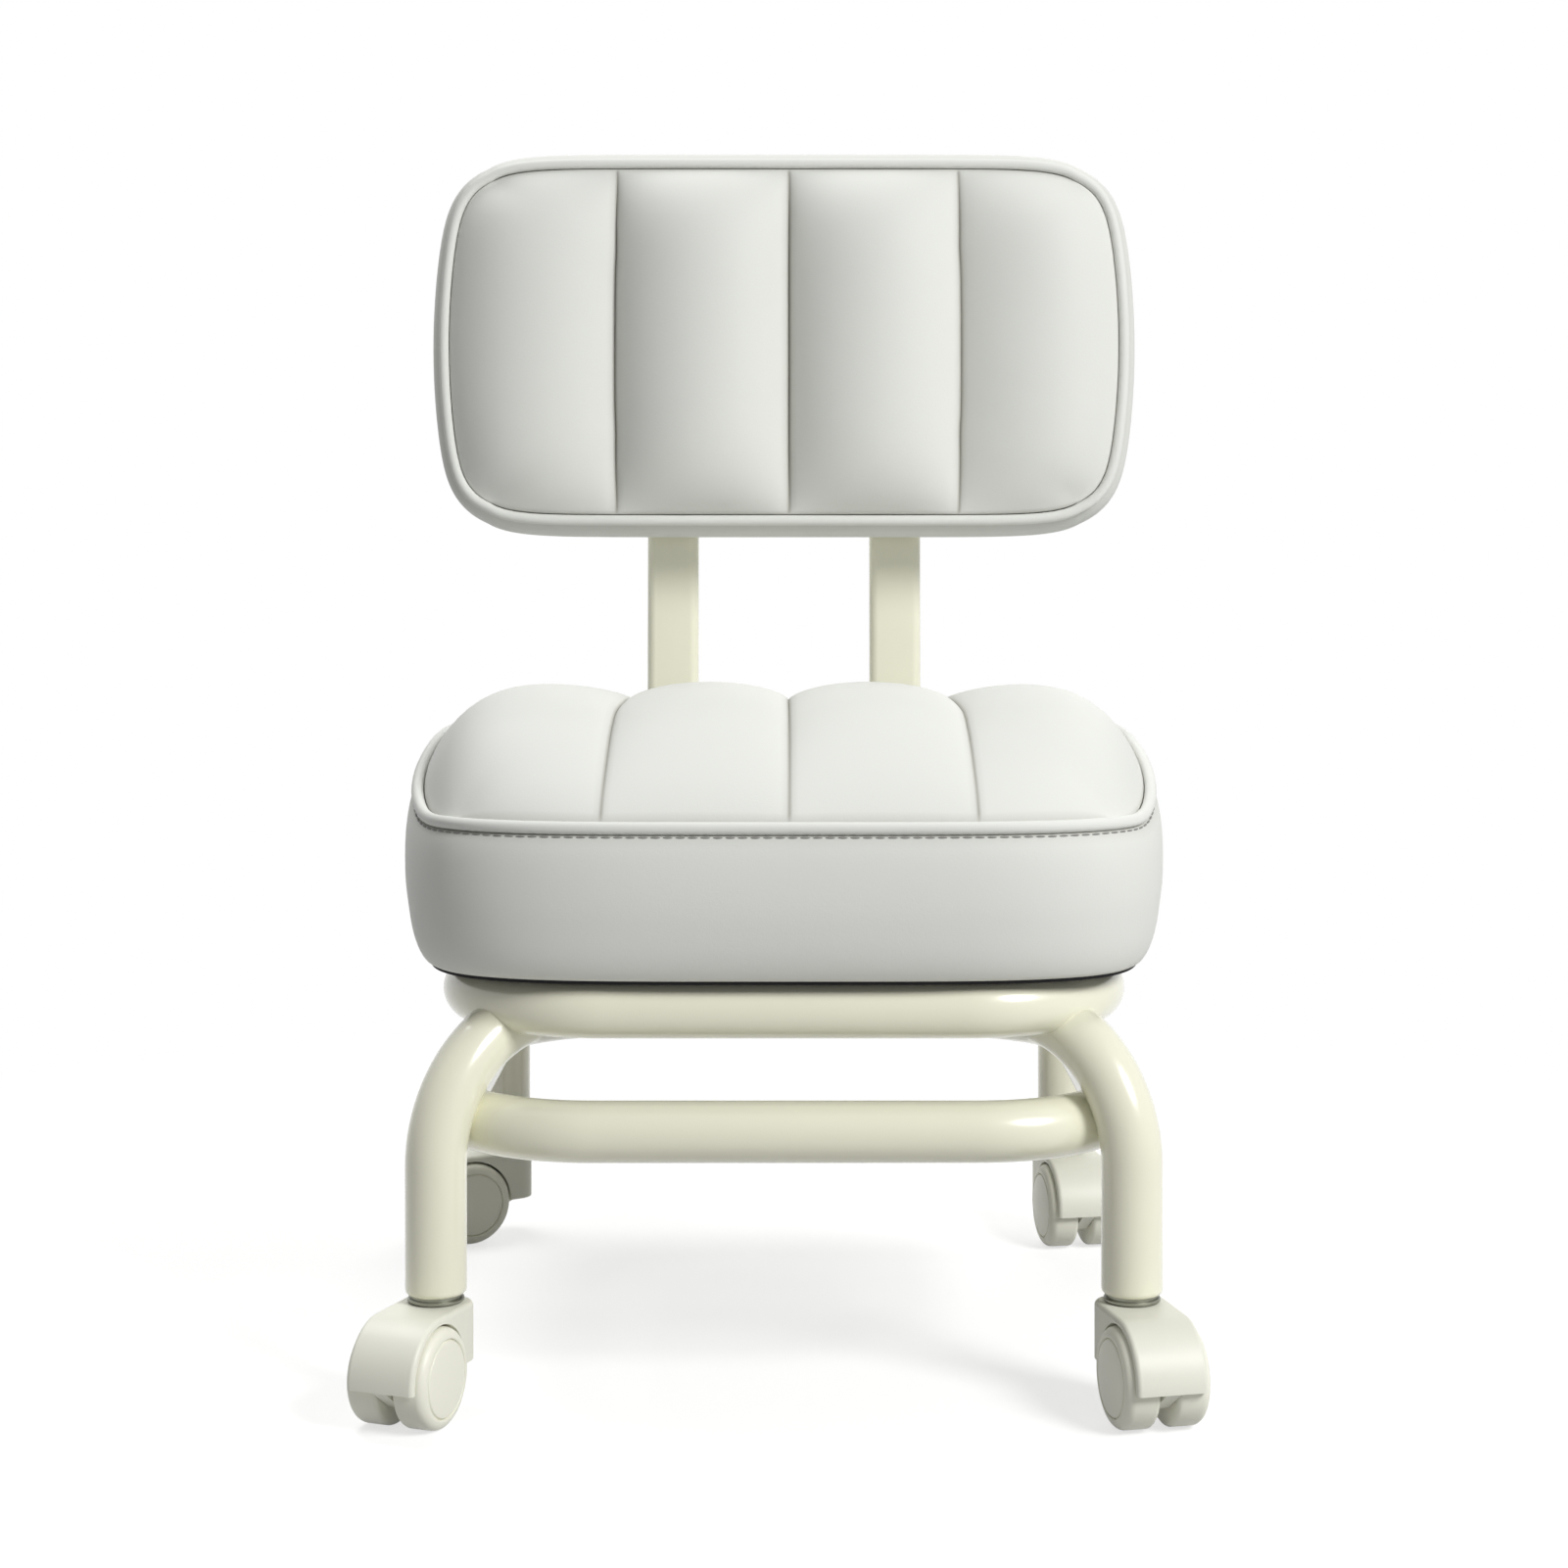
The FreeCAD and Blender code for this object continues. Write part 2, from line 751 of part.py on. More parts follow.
def piping(outline, seam_line):
    """A cord round the cushion's edge: the right half is swept, the left half mirrors it."""
    spots = seam_line.right_half(outline.inset(size.piping_inset.value)).discretize(PIPING_SPOTS)
    across = Vector(1, 0, 0)
    curve = Part.BSplineCurve()
    curve.interpolate(Points=spots, InitialTangent=across, FinalTangent=-across)
    ring = Part.Wire([Part.makeCircle(size.piping_dia.value / 2, spots[0], across)])
    right = Part.Wire([curve.toShape()]).makePipeShell([ring], True, False)
    return right.fuse(right.mirror(Vector(0, 0, 0), across)).removeSplitter()


def feature(label, shape):
    item = doc.addObject("Part::Feature", label)
    item.Label = label
    item.Shape = shape
    return item


# Seat: board on the ring, cushion over the board, piping, screws from below

seat_outline = Outline(size.seat_half_width.value, size.seat_half_depth.value,
                       size.seat_bow_radius.value, size.seat_corner.value)
seat_board_outline = seat_outline.inset(size.seat_board_inset.value)
seat_low = size.soft_clear.value
seat_board_plate = seat_board_outline.plate(0.0, size.seat_board_thick.value)
seat_seam_line = SeamLine(size.seat_band.value, size.seat_fall.value, size.seat_fall_start.value,
                          size.seat_fall_radius.value, size.seat_fall_blend.value)
seat_solid = cushion(seat_outline, seat_seam_line, seat_low, size.seat_tuck.value, size.seat_crown.value,
                     size.seat_channel.value, size.seat_seam.value)
seat_shift = size.seat_half_depth + size.seat_post_gap - ring_back


def on_seat(item):
    return put(item, 0.0, -seat_shift, ring_top)


keep("seat_cushion", on_seat(feature("seat_cushion", seat_solid.cut(seat_board_plate))))
keep("seat_piping", on_seat(feature("seat_piping", piping(seat_outline, seat_seam_line))))

seat_grip = size.strap_thick + size.seat_board_thick
seat_screws = []
seat_nuts = []
seat_pockets = []
for number, (x, y) in enumerate(seat_screw_spots, 1):
    seat_screws.append(put(screw(f"seat_screw_{number}", seat_grip), x, y, strap_low))
    nut_sizes = (size.strap_thick, seat_grip)
    seat_nuts.append(put(tee_nut(f"seat_nut_{number}", *nut_sizes), x, y, strap_low))
    seat_pockets.append(put(nut_pocket(f"seat_pocket_{number}", *nut_sizes), x, y, strap_low))
seat_board_blank = on_seat(feature("seat_board_blank", seat_board_plate))
keep("seat_board", cut("seat_board", seat_board_blank, group("seat_pockets", seat_pockets)))
keep("seat_screws", group("seat_screws", seat_screws))
keep("seat_tee_nuts", group("seat_tee_nuts", seat_nuts))


# Back: two posts on the rear of the seat ring lean back and carry the backrest

lean = size.back_lean
post_front = ring_back
post_axis = post_front + size.post_depth / 2
post_foot = size.ring_height - size.post_overhang
post_upright = size.post_overhang + tube_radius + size.post_bend_rise
bend_out = size.post_bend_radius * (1 - cosine(lean))
bend_up = size.post_bend_radius * sine(lean)
# the leaning stretch, measured from the bend's end to the middle of the backrest
lean_low = post_foot + post_upright + bend_up
back_run = (size.back_height - lean_low) / cosine(lean)
post_run = back_run + size.post_rise
# the middle of the posts' front face behind the backrest
back_y = post_axis + bend_out + back_run * sine(lean) - size.post_depth / 2 * cosine(lean)
back_z = size.back_height + size.post_depth / 2 * sine(lean)


def post_section(body, shrink):
    """A flat tube's section with round edges."""
    half_x = size.post_width / 2 - shrink
    half_y = size.post_depth / 2 - shrink
    edge = size.post_edge - shrink
    return draw(new_sketch(body, "XY_Plane"), [
        (half_x, -half_y + edge),
        (half_x, half_y - edge, edge, 1),
        (half_x - edge, half_y),
        (-half_x + edge, half_y, edge, 1),
        (-half_x, half_y - edge),
        (-half_x, -half_y + edge, edge, 1),
        (-half_x + edge, -half_y),
        (half_x - edge, -half_y, edge, 1),
    ])


def post_body(label, x_side, shrink):
    body = new_body(label)
    spine = draw(new_sketch(body, "YZ_Plane"), [
        (0, 0),
        (0, post_upright, size.post_bend_radius, -1),
        (bend_out, post_upright + bend_up),
        (bend_out + post_run * sine(lean), post_upright + bend_up + post_run * cosine(lean)),
    ], closed=False)
    pipe(body, post_section(body, shrink), spine)
    return put(body, size.post_spacing * x_side, post_axis, post_foot)


def on_back(item, x=0.0, along=0.0, forward=0.0):
    """Places a piece on the leaning back: local x is across, y up the posts, z forward."""
    y = back_y + sine(lean) * along - cosine(lean) * forward
    z = back_z + cosine(lean) * along + sine(lean) * forward
    return put(item, as_size(x), y, z, axis=Vector(1, 0, 0), turn=QUARTER_TURN - lean)


back_grip = size.post_depth + size.back_cover_thick + size.back_board_thick
back_screws = []
back_nuts = []
back_pockets = []
post_holes = {"left": [], "right": []}
cover_holes = []
for side, x_side in SIDES.items():
    for level, along in (("low", -size.back_screw_low), ("high", size.back_screw_high)):
        name = f"{level}_{side}"
        spot = {"x": size.post_spacing * x_side, "along": along, "forward": -size.post_depth}
        back_screws.append(on_back(screw(f"back_screw_{name}", back_grip), **spot))
        nut_sizes = (size.post_depth + size.back_cover_thick, back_grip)
        back_nuts.append(on_back(tee_nut(f"back_nut_{name}", *nut_sizes), **spot))
        back_pockets.append(on_back(nut_pocket(f"back_pocket_{name}", *nut_sizes), **spot))
        hole_length = size.post_depth + size.back_cover_thick
        post_holes[side].append(on_back(cylinder(f"post_hole_{name}", clear_radius, hole_length), **spot))
        cover_holes.append(on_back(cylinder(f"cover_hole_{name}", clear_radius, hole_length), **spot))

post_caps = []
for side, x_side in SIDES.items():
    bar = post_body(f"post_bar_{side}", x_side, as_size(0.0))
    bore = post_body(f"post_bore_{side}", x_side, size.post_wall)
    tube = cut(f"post_tube_{side}", bar, bore)
    keep(f"back_post_{side}", cut(f"back_post_{side}", tube, group(f"post_holes_{side}", post_holes[side])))
    for end in ("foot", "head"):
        body = new_body(f"post_cap_{end}_{side}")
        pad(body, post_section(body, as_size(0.0)), size.cap_thick)
        pad(body, post_section(body, size.post_wall), size.cap_thick + size.cap_plug)
        x = size.post_spacing * x_side
        if end == "foot":
            put(body, x, post_axis, post_foot - size.cap_thick)
        else:
            on_back(body, x, size.post_rise + size.cap_thick, -size.post_depth / 2)
            bind(body, "Placement.Rotation.Angle", HALF_TURN - lean)
        post_caps.append(body)
keep("post_caps", group("post_caps", post_caps))

back_outline = Outline(size.back_half_width.value, size.back_half_height.value,
                       size.back_bow_radius.value, size.back_corner.value)
cover_top = size.back_cover_thick.value
board_top = cover_top + size.back_board_thick.value
back_cover_plate = back_outline.inset(size.back_cover_inset.value).plate(0.0, cover_top)
back_board_plate = back_outline.inset(size.back_board_inset.value).plate(cover_top, board_top)
back_seam_line = SeamLine(size.back_band.value)
back_solid = cushion(back_outline, back_seam_line, cover_top, size.back_tuck.value, size.back_crown.value,
                     size.back_channel.value, size.back_seam.value)
keep("back_cushion", on_back(feature("back_cushion", back_solid.cut(back_board_plate))))
keep("back_piping", on_back(feature("back_piping", piping(back_outline, back_seam_line))))
back_board_blank = on_back(feature("back_board_blank", back_board_plate))
keep("back_board", cut("back_board", back_board_blank, group("back_pockets", back_pockets)))
back_cover_blank = on_back(feature("back_cover_blank", back_cover_plate))
keep("back_cover", cut("back_cover", back_cover_blank, group("cover_holes", cover_holes)))
keep("back_screws", group("back_screws", back_screws))
keep("back_tee_nuts", group("back_tee_nuts", back_nuts))


# Casters: local x trails from the stem, local y is the axle

def hood_outline(low_points):
    """Side view of the hood: a flat-topped boss round the stem, then an arc over the wheels."""
    drop = wheel_radius - size.hood_front_height
    front_end = size.caster_trail + root(hood_radius * hood_radius - drop * drop)
    return [
        (-size.boss_radius, wheel_radius),
        (-size.boss_radius, boss_top),
        (size.caster_trail, boss_top, hood_radius, -1),
        (front_end, size.hood_front_height),
    ] + low_points


def hood(label):
    """A moulded hood: shell over both treads, web between the wheels, bores for stem and axle."""
    body = new_body(label)
    pad(body, draw(new_sketch(body, "XZ_Plane"), hood_outline([])), size.hood_width, both_ways=True)
    back = -size.boss_radius.value + NEAR
    fillet(body, size.boss_round, lambda edge: edge.BoundBox.XMax < back and edge.BoundBox.YLength < NEAR)
    # the upper rim, without the seam where the flat top runs into the arc
    top = boss_top.value - NEAR
    fillet(body, size.hood_edge, lambda edge: edge.BoundBox.ZMax > top
           and (edge.BoundBox.XMin < 0 or edge.BoundBox.YLength < NEAR))
    cavity = wheel_radius + size.hood_clear
    pocket_through(body, draw_circle(new_sketch(body, "XZ_Plane"), size.caster_trail, wheel_radius, cavity))
    keel = wheel_radius / 2
    web = hood_outline([(size.caster_trail + keel, keel), (size.caster_trail - keel, keel)])
    web_sketch = draw(new_sketch(body, "XZ_Plane"), web)
    draw_circle(web_sketch, size.caster_trail, wheel_radius, size.axle_dia / 2)
    pad(body, web_sketch, size.web_thick, both_ways=True)
    pin_radius = size.pin_dia / 2 + size.running_clear
    pin_end = boss_top - size.pin_depth - size.swivel_gap
    revolve(body, draw(new_sketch(body, "XZ_Plane"), [
        (0, pin_end),
        (pin_radius, pin_end),
        (pin_radius, boss_top + GROOVE_SPARE),
        (0, boss_top + GROOVE_SPARE),
    ]), "PartDesign::Groove")
    return body


def stem(label):
    """A turned stem: pin in the hood, collar under the leg, shank in the socket."""
    body = new_body(label)
    pin_radius = size.pin_dia / 2
    collar_radius = size.collar_dia / 2
    shank_radius = size.stem_dia / 2
    tip = leg_end + size.stem_length
    revolve(body, draw(new_sketch(body, "XZ_Plane"), [
        (0, boss_top - size.pin_depth),
        (pin_radius, boss_top - size.pin_depth),
        (pin_radius, collar_low),
        (collar_radius, collar_low),
        (collar_radius, leg_end),
        (shank_radius, leg_end),
        (shank_radius, tip - shank_radius / 2),
        (shank_radius / 2, tip),
        (0, tip),
    ]))
    return body


def socket(label):
    """A plastic sleeve pressed into the leg's lower end."""
    body = new_body(label)
    inner = size.stem_dia / 2
    revolve(body, draw(new_sketch(body, "XZ_Plane"), [
        (inner, leg_end),
        (bore_radius, leg_end),
        (bore_radius, leg_end + size.socket_length),
        (inner, leg_end + size.socket_length),
    ]))
    return body


axle_half = size.wheel_gap / 2 + size.wheel_width - size.cap_seat


def axle(label):
    body = new_body(label)
    outline = draw_circle(new_sketch(body, "XZ_Plane"), 0, 0, size.axle_dia / 2)
    pad(body, outline, axle_half * 2, both_ways=True)
    return body


wheel_inner = size.wheel_gap / 2
wheel_outer = wheel_inner + size.wheel_width
cap_radius = size.cap_dia / 2
inner_edge = size.wheel_edge / 2


def wheel(label):
    """A wheel with rounded tread edges, a bore for the axle and a recess for its cap."""
    body = new_body(label)
    bore = size.axle_dia / 2 + size.running_clear
    revolve(body, draw(new_sketch(body, "XY_Plane"), [
        (bore, wheel_inner),
        (wheel_radius - inner_edge, wheel_inner, inner_edge, 1),
        (wheel_radius, wheel_inner + inner_edge),
        (wheel_radius, wheel_outer - size.wheel_edge, size.wheel_edge, 1),
        (wheel_radius - size.wheel_edge, wheel_outer),
        (cap_radius, wheel_outer),
        (cap_radius, axle_half),
        (bore, axle_half),
    ]))
    return body


def wheel_cap(label):
    """A domed cap pressed into the wheel's recess, just clear of the axle's end."""
    body = new_body(label)
    dome = (cap_radius * cap_radius + size.cap_bulge * size.cap_bulge) / (size.cap_bulge * 2)
    back = axle_half + size.swivel_gap
    revolve(body, draw(new_sketch(body, "XY_Plane"), [
        (0, back),
        (cap_radius, back),
        (cap_radius, wheel_outer, dome, 1),
        (0, wheel_outer + size.cap_bulge),
    ]))
    return body


headings = {place: getattr(size, f"heading_{place}") for place in CORNERS}
for place, (x_side, y_side) in CORNERS.items():
    heading = headings[place]
    leg_x = size.leg_spread * x_side
    leg_y = size.leg_spread * y_side
    axle_x = leg_x + size.caster_trail * cosine(heading)
    axle_y = leg_y + size.caster_trail * sine(heading)
    keep(f"caster_socket_{place}", put(socket(f"caster_socket_{place}"), leg_x, leg_y))
    keep(f"caster_stem_{place}", put(stem(f"caster_stem_{place}"), leg_x, leg_y))
    keep(f"caster_hood_{place}", put(hood(f"caster_hood_{place}"), leg_x, leg_y, turn=heading))
    spot = (axle_x, axle_y, wheel_radius)
    keep(f"caster_axle_{place}", put(axle(f"caster_axle_{place}"), *spot, turn=heading))
    for hand, extra in (("a", 0.0), ("b", HALF_TURN)):
        name = f"{place}_{hand}"
        keep(f"caster_wheel_{name}", put(wheel(f"caster_wheel_{name}"), *spot, turn=heading + extra))
        keep(f"wheel_cap_{name}", put(wheel_cap(f"wheel_cap_{name}"), *spot, turn=heading + extra))


# Check every object, then write each sub-part

doc.recompute()
for item in doc.Objects:
    if "Invalid" in item.State or "Error" in item.State:
        raise RuntimeError(f"{item.Label} did not build: {item.State}")
for name, item in nodes.items():
    if item.Shape.isNull() or not item.Shape.isValid() or not item.Shape.Solids:
        raise RuntimeError(f"{name} has no valid solid")

os.makedirs("parts", exist_ok=True)
for name, item in nodes.items():
    item.Shape.exportStep(os.path.join("parts", f"{name}.step"))
    print(f"{name}: {len(item.Shape.Solids)} solid(s), {item.Shape.Volume / 1000:.2f} cm3")
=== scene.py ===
# %% [markdown]
# # Rolling stool
# A low stool on four hooded twin-wheel casters: a bent-tube frame in ivory powder coat, a crowned seat
# and a small backrest, both in pale coated leather sewn into four channels. The CAD model gives every
# place and every moving body. This lesson dresses it: it keeps the machined pieces, rebuilds what is soft
# or softly rounded, and lights the result like a catalogue picture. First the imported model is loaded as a
# fixed frame.

import json
import math
from contextlib import contextmanager
from dataclasses import dataclass

import bmesh
import bpy
from mathutils import Matrix, Vector
from mathutils.bvhtree import BVHTree


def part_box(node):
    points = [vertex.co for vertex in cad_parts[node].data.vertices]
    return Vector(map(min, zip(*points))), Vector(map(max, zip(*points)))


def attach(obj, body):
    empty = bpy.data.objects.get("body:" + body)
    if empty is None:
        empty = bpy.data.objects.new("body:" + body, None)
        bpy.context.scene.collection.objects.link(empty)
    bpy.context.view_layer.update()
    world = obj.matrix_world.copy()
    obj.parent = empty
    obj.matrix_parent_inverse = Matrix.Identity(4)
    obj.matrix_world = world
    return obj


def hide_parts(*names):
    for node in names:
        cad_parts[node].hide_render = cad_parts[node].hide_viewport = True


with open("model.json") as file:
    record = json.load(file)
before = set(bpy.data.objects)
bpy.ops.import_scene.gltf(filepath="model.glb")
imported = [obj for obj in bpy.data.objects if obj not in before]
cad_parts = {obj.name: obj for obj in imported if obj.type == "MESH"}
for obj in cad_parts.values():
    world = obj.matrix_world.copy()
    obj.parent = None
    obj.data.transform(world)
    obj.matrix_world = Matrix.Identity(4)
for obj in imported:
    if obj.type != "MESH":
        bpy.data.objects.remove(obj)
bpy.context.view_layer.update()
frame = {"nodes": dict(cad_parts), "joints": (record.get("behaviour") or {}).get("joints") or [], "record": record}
MM = 0.001
CORNERS = {"front_left": (-1, -1), "front_right": (1, -1), "rear_left": (-1, 1), "rear_right": (1, 1)}
scene = bpy.context.scene


def put(name, data):
    """A new object in the scene."""
    item = bpy.data.objects.new(name, data)
    scene.collection.objects.link(item)
    return item


# %% [markdown]
# ## Camera
# The picture looks straight at the front from a little above the seat. An almost level camera keeps the
# legs upright, and shifting the lens moves the stool up in the frame.

# %% Camera
CAMERA_PLACE = (0.0, -1.267, 0.356)
CAMERA_PITCH = 0.9
CAMERA_LENS = 64.06
CAMERA_SHIFT = -0.1347

camera_data = bpy.data.cameras.new("camera")
camera_data.lens = CAMERA_LENS
camera_data.sensor_width = 36.0
camera_data.shift_y = CAMERA_SHIFT
camera = put("camera", camera_data)
camera.location = CAMERA_PLACE
camera.rotation_euler = (math.radians(90.0 - CAMERA_PITCH), 0.0, 0.0)
scene.camera = camera
scene.view_settings.view_transform = "Standard"
print("camera", CAMERA_PLACE, "lens", CAMERA_LENS)

# %% [markdown]
# ## Node helpers
# Shaders and Geometry Nodes trees are both built from nodes and links. A few small helpers keep the cells
# short: they feed a node's inputs with values or links, add a node with its settings, and start a node
# group or a material.

# %% Node helpers
def feed(tree, node, inputs):
    """Sets inputs, by name or number. A source is a value, a socket, a node's first output, or a list."""
    for name, sources in inputs.items():
        for source in sources if isinstance(sources, list) else [sources]:
            if isinstance(source, bpy.types.Node):
                source = source.outputs[0]
            if isinstance(source, bpy.types.NodeSocket):
                tree.links.new(source, node.inputs[name])
            else:
                node.inputs[name].default_value = source


def add_node(tree, kind, inputs=None, **settings):
    node = tree.nodes.new(kind)
    for name, value in settings.items():
        setattr(node, name, value)
    feed(tree, node, inputs or {})
    return node


def new_group(name, kind, inputs, outputs):
    """An empty node group. A socket is given by its number, or by its type if it has no value."""
    tree = bpy.data.node_groups.new(name, kind)
    for label, value in inputs.items():
        sort = value if isinstance(value, str) else "Float"
        socket = tree.interface.new_socket(label, in_out="INPUT", socket_type=f"NodeSocket{sort}")
        if value != sort:
            socket.default_value = value
    for label, sort in outputs.items():
        tree.interface.new_socket(label, in_out="OUTPUT", socket_type=f"NodeSocket{sort}")
    return tree, tree.nodes.new("NodeGroupInput"), tree.nodes.new("NodeGroupOutput")


def new_material(name):
    material = bpy.data.materials.new(name)
    material.use_nodes = True
    return material, material.node_tree


# %% [markdown]
# ## Studio
# A white sweep and three broad lamps. The key stands high at the front right, so the left sides of the
# tubes and channels fall into soft shade. The second lights the tops from the left, and the third only
# fills the rear. The floor takes the stool's shadow near it. Further out, rays that come from the camera
# see plain white, so that no horizon shows.

# %% Studio
FLOOR_SIZE = 12.0
SHADOW_NEAR = 0.22
SHADOW_FAR = 0.75
WORLD_LIGHT = 0.21
FLOOR_PAINT = (0.5, 0.5, 0.5, 1.0)
FLOOR_LIFT = 0.66


def seen_directly(tree):
    """A mask for camera, glossy and transmission rays, which should meet a white background."""
    rays = add_node(tree, "ShaderNodeLightPath").outputs
    mask = rays["Is Camera Ray"]
    for kind in ("Is Glossy Ray", "Is Transmission Ray"):
        mask = add_node(tree, "ShaderNodeMath", {0: mask, 1: rays[kind]}, operation="MAXIMUM")
    return mask


def studio_world():
    world = bpy.data.worlds.new("studio")
    world.use_nodes = True
    tree = world.node_tree
    strength = add_node(tree, "ShaderNodeMapRange", {"Value": seen_directly(tree), "To Min": WORLD_LIGHT,
                                                     "To Max": 1.0})
    feed(tree, tree.nodes["Background"], {"Color": (1.0, 1.0, 1.0, 1.0), "Strength": strength})
    scene.world = world


def floor_paint():
    """Pale paint that keeps a shadow near the stool and turns to white further out."""
    material, tree = new_material("studio_floor")
    tree.nodes.clear()
    paint = add_node(tree, "ShaderNodeBsdfDiffuse", {"Color": FLOOR_PAINT})
    lift = add_node(tree, "ShaderNodeEmission", {"Strength": FLOOR_LIFT})
    lit = add_node(tree, "ShaderNodeAddShader", {0: paint, 1: lift})
    white = add_node(tree, "ShaderNodeEmission", {"Strength": 1.0})
    spot = add_node(tree, "ShaderNodeTexCoord").outputs["Object"]
    distance = add_node(tree, "ShaderNodeVectorMath", {0: spot}, operation="LENGTH")
    fade = add_node(tree, "ShaderNodeMapRange", {
        "Value": distance.outputs["Value"], "From Min": SHADOW_NEAR, "From Max": SHADOW_FAR},
        interpolation_type="SMOOTHSTEP")
    outside = add_node(tree, "ShaderNodeMixShader", {"Fac": fade, 1: lit, 2: white})
    seen = add_node(tree, "ShaderNodeMixShader", {"Fac": seen_directly(tree), 1: paint, 2: outside})
    add_node(tree, "ShaderNodeOutputMaterial", {"Surface": seen})
    return material


def soft_lamp(name, place, breadth, power, shine=True):
    """A broad round lamp aimed at the stool. Without shine it makes no highlights."""
    data = bpy.data.lights.new(name, "AREA")
    data.shape = "DISK"
    data.size = breadth
    data.energy = power
    lamp = put(name, data)
    lamp.location = place
    lamp.visible_glossy = shine
    lamp.rotation_euler = (Vector(STOOL_MIDDLE) - Vector(place)).to_track_quat("-Z", "Y").to_euler()


def new_piece(name, points, faces, material):
    """A mesh object at the origin, smooth shaded, with its place in its vertices."""
    mesh = bpy.data.meshes.new(name)
    mesh.from_pydata([tuple(point) for point in points], [], faces)
    mesh.validate()
    mesh.shade_smooth()
    mesh.materials.append(material)
    return put(name, mesh)


STOOL_MIDDLE = (0.0, 0.0, 0.27)
studio_world()
half_floor = FLOOR_SIZE / 2
floor_corners = [(half_floor * x_side, half_floor * y_side, 0) for x_side, y_side in CORNERS.values()]
floor = new_piece("floor", floor_corners, [(0, 1, 3, 2)], floor_paint())
soft_lamp("key", (1.5, -1.5, 1.6), breadth=0.9, power=47.0)
soft_lamp("top", (-0.7, 0.6, 2.2), breadth=1.2, power=20.0)
soft_lamp("rear", (0.3, 2.2, 0.9), breadth=1.4, power=18.0, shine=False)
print("studio: world", WORLD_LIGHT, "and three soft lamps")

# %% [markdown]
# ## Shared surface effects
# Coated leather has a fine pebble grain and slow changes of tone. Powder coat and moulded plastic have a
# faint orange peel. Both effects are node groups, built once, with the grain size as an input, and each
# material sets its own amounts. A group gives only values, and the shader itself stays in the material.

# %% Shared surface effects
SURFACE_VALUES = {"Height": "Float", "Blotch": "Float"}
CREASE_SHARE = 0.35


def pebble_group():
    """Fine leather pebbles and slow blotches, from Object coordinates."""
    tree, take, give = new_group("leather_pebbles", "ShaderNodeTree", {
        "Pebbles per Metre": 1500.0, "Blotches per Metre": 18.0}, SURFACE_VALUES)
    spot = add_node(tree, "ShaderNodeTexCoord").outputs["Object"]
    scale = take.outputs["Pebbles per Metre"]
    coarse = add_node(tree, "ShaderNodeMath", {0: scale, 1: CREASE_SHARE}, operation="MULTIPLY")
    pebbles = add_node(tree, "ShaderNodeTexVoronoi", {"Vector": spot, "Scale": scale}, feature="SMOOTH_F1")
    creases = add_node(tree, "ShaderNodeTexNoise", {"Vector": spot, "Scale": coarse, "Detail": 3.0})
    blotch = add_node(tree, "ShaderNodeTexNoise", {
        "Vector": spot, "Scale": take.outputs["Blotches per Metre"], "Detail": 2.0})
    together = add_node(tree, "ShaderNodeMath", {0: pebbles, 1: creases}, operation="ADD")
    feed(tree, give, {"Height": together, "Blotch": blotch})
    return tree


def peel_group():
    """Orange peel of a sprayed or moulded skin, and slow changes of tone."""
    tree, take, give = new_group("orange_peel", "ShaderNodeTree", {
        "Peel per Metre": 450.0, "Blotches per Metre": 14.0}, SURFACE_VALUES)
    spot = add_node(tree, "ShaderNodeTexCoord").outputs["Object"]
    for target, scale, detail in (("Height", "Peel per Metre", 1.0), ("Blotch", "Blotches per Metre", 3.0)):
        noise = add_node(tree, "ShaderNodeTexNoise", {
            "Vector": spot, "Scale": take.outputs[scale], "Detail": detail})
        feed(tree, give, {target: noise})
    return tree


PEBBLES = pebble_group()
PEEL = peel_group()
print("groups", PEBBLES.name, PEEL.name)

# %% [markdown]
# ## Finishes
# Every finish is a Principled shader whose colour, roughness and relief come from one of the groups. The
# leather also reads a mask that its own mesh carries, which paints shade into the sewn seams, the panel's
# edge and the groove under the piping.

# %% Finishes
def darker(colour, share):
    return tuple(channel * share for channel in colour)


def base_finish(name, group, group_inputs, colour, tone, roughness, relief, depth, **fixed):
    """A Principled material: two tones, a roughness range and relief, all from a surface group.

    tone is the share of the darker tone, roughness is (low, high), depth is the relief in metres.
    """
    material, tree = new_material(name)
    effect = add_node(tree, "ShaderNodeGroup", group_inputs, node_tree=group)
    blotch = effect.outputs["Blotch"]
    tones = add_node(tree, "ShaderNodeMix", {
        "Factor": blotch, "A": (*darker(colour, tone), 1.0), "B": (*colour, 1.0)}, data_type="RGBA")
    spread = add_node(tree, "ShaderNodeMapRange", {
        "Value": blotch, "From Min": BLOTCH_RANGE[0], "From Max": BLOTCH_RANGE[1],
        "To Min": roughness[0], "To Max": roughness[1]})
    bump = add_node(tree, "ShaderNodeBump", {
        "Height": effect.outputs["Height"], "Strength": relief, "Distance": depth})
    feed(tree, tree.nodes["Principled BSDF"], {
        "Base Color": tones.outputs["Result"], "Roughness": spread, "Normal": bump,
        **{key.replace("_", " "): value for key, value in fixed.items()}})
    return material


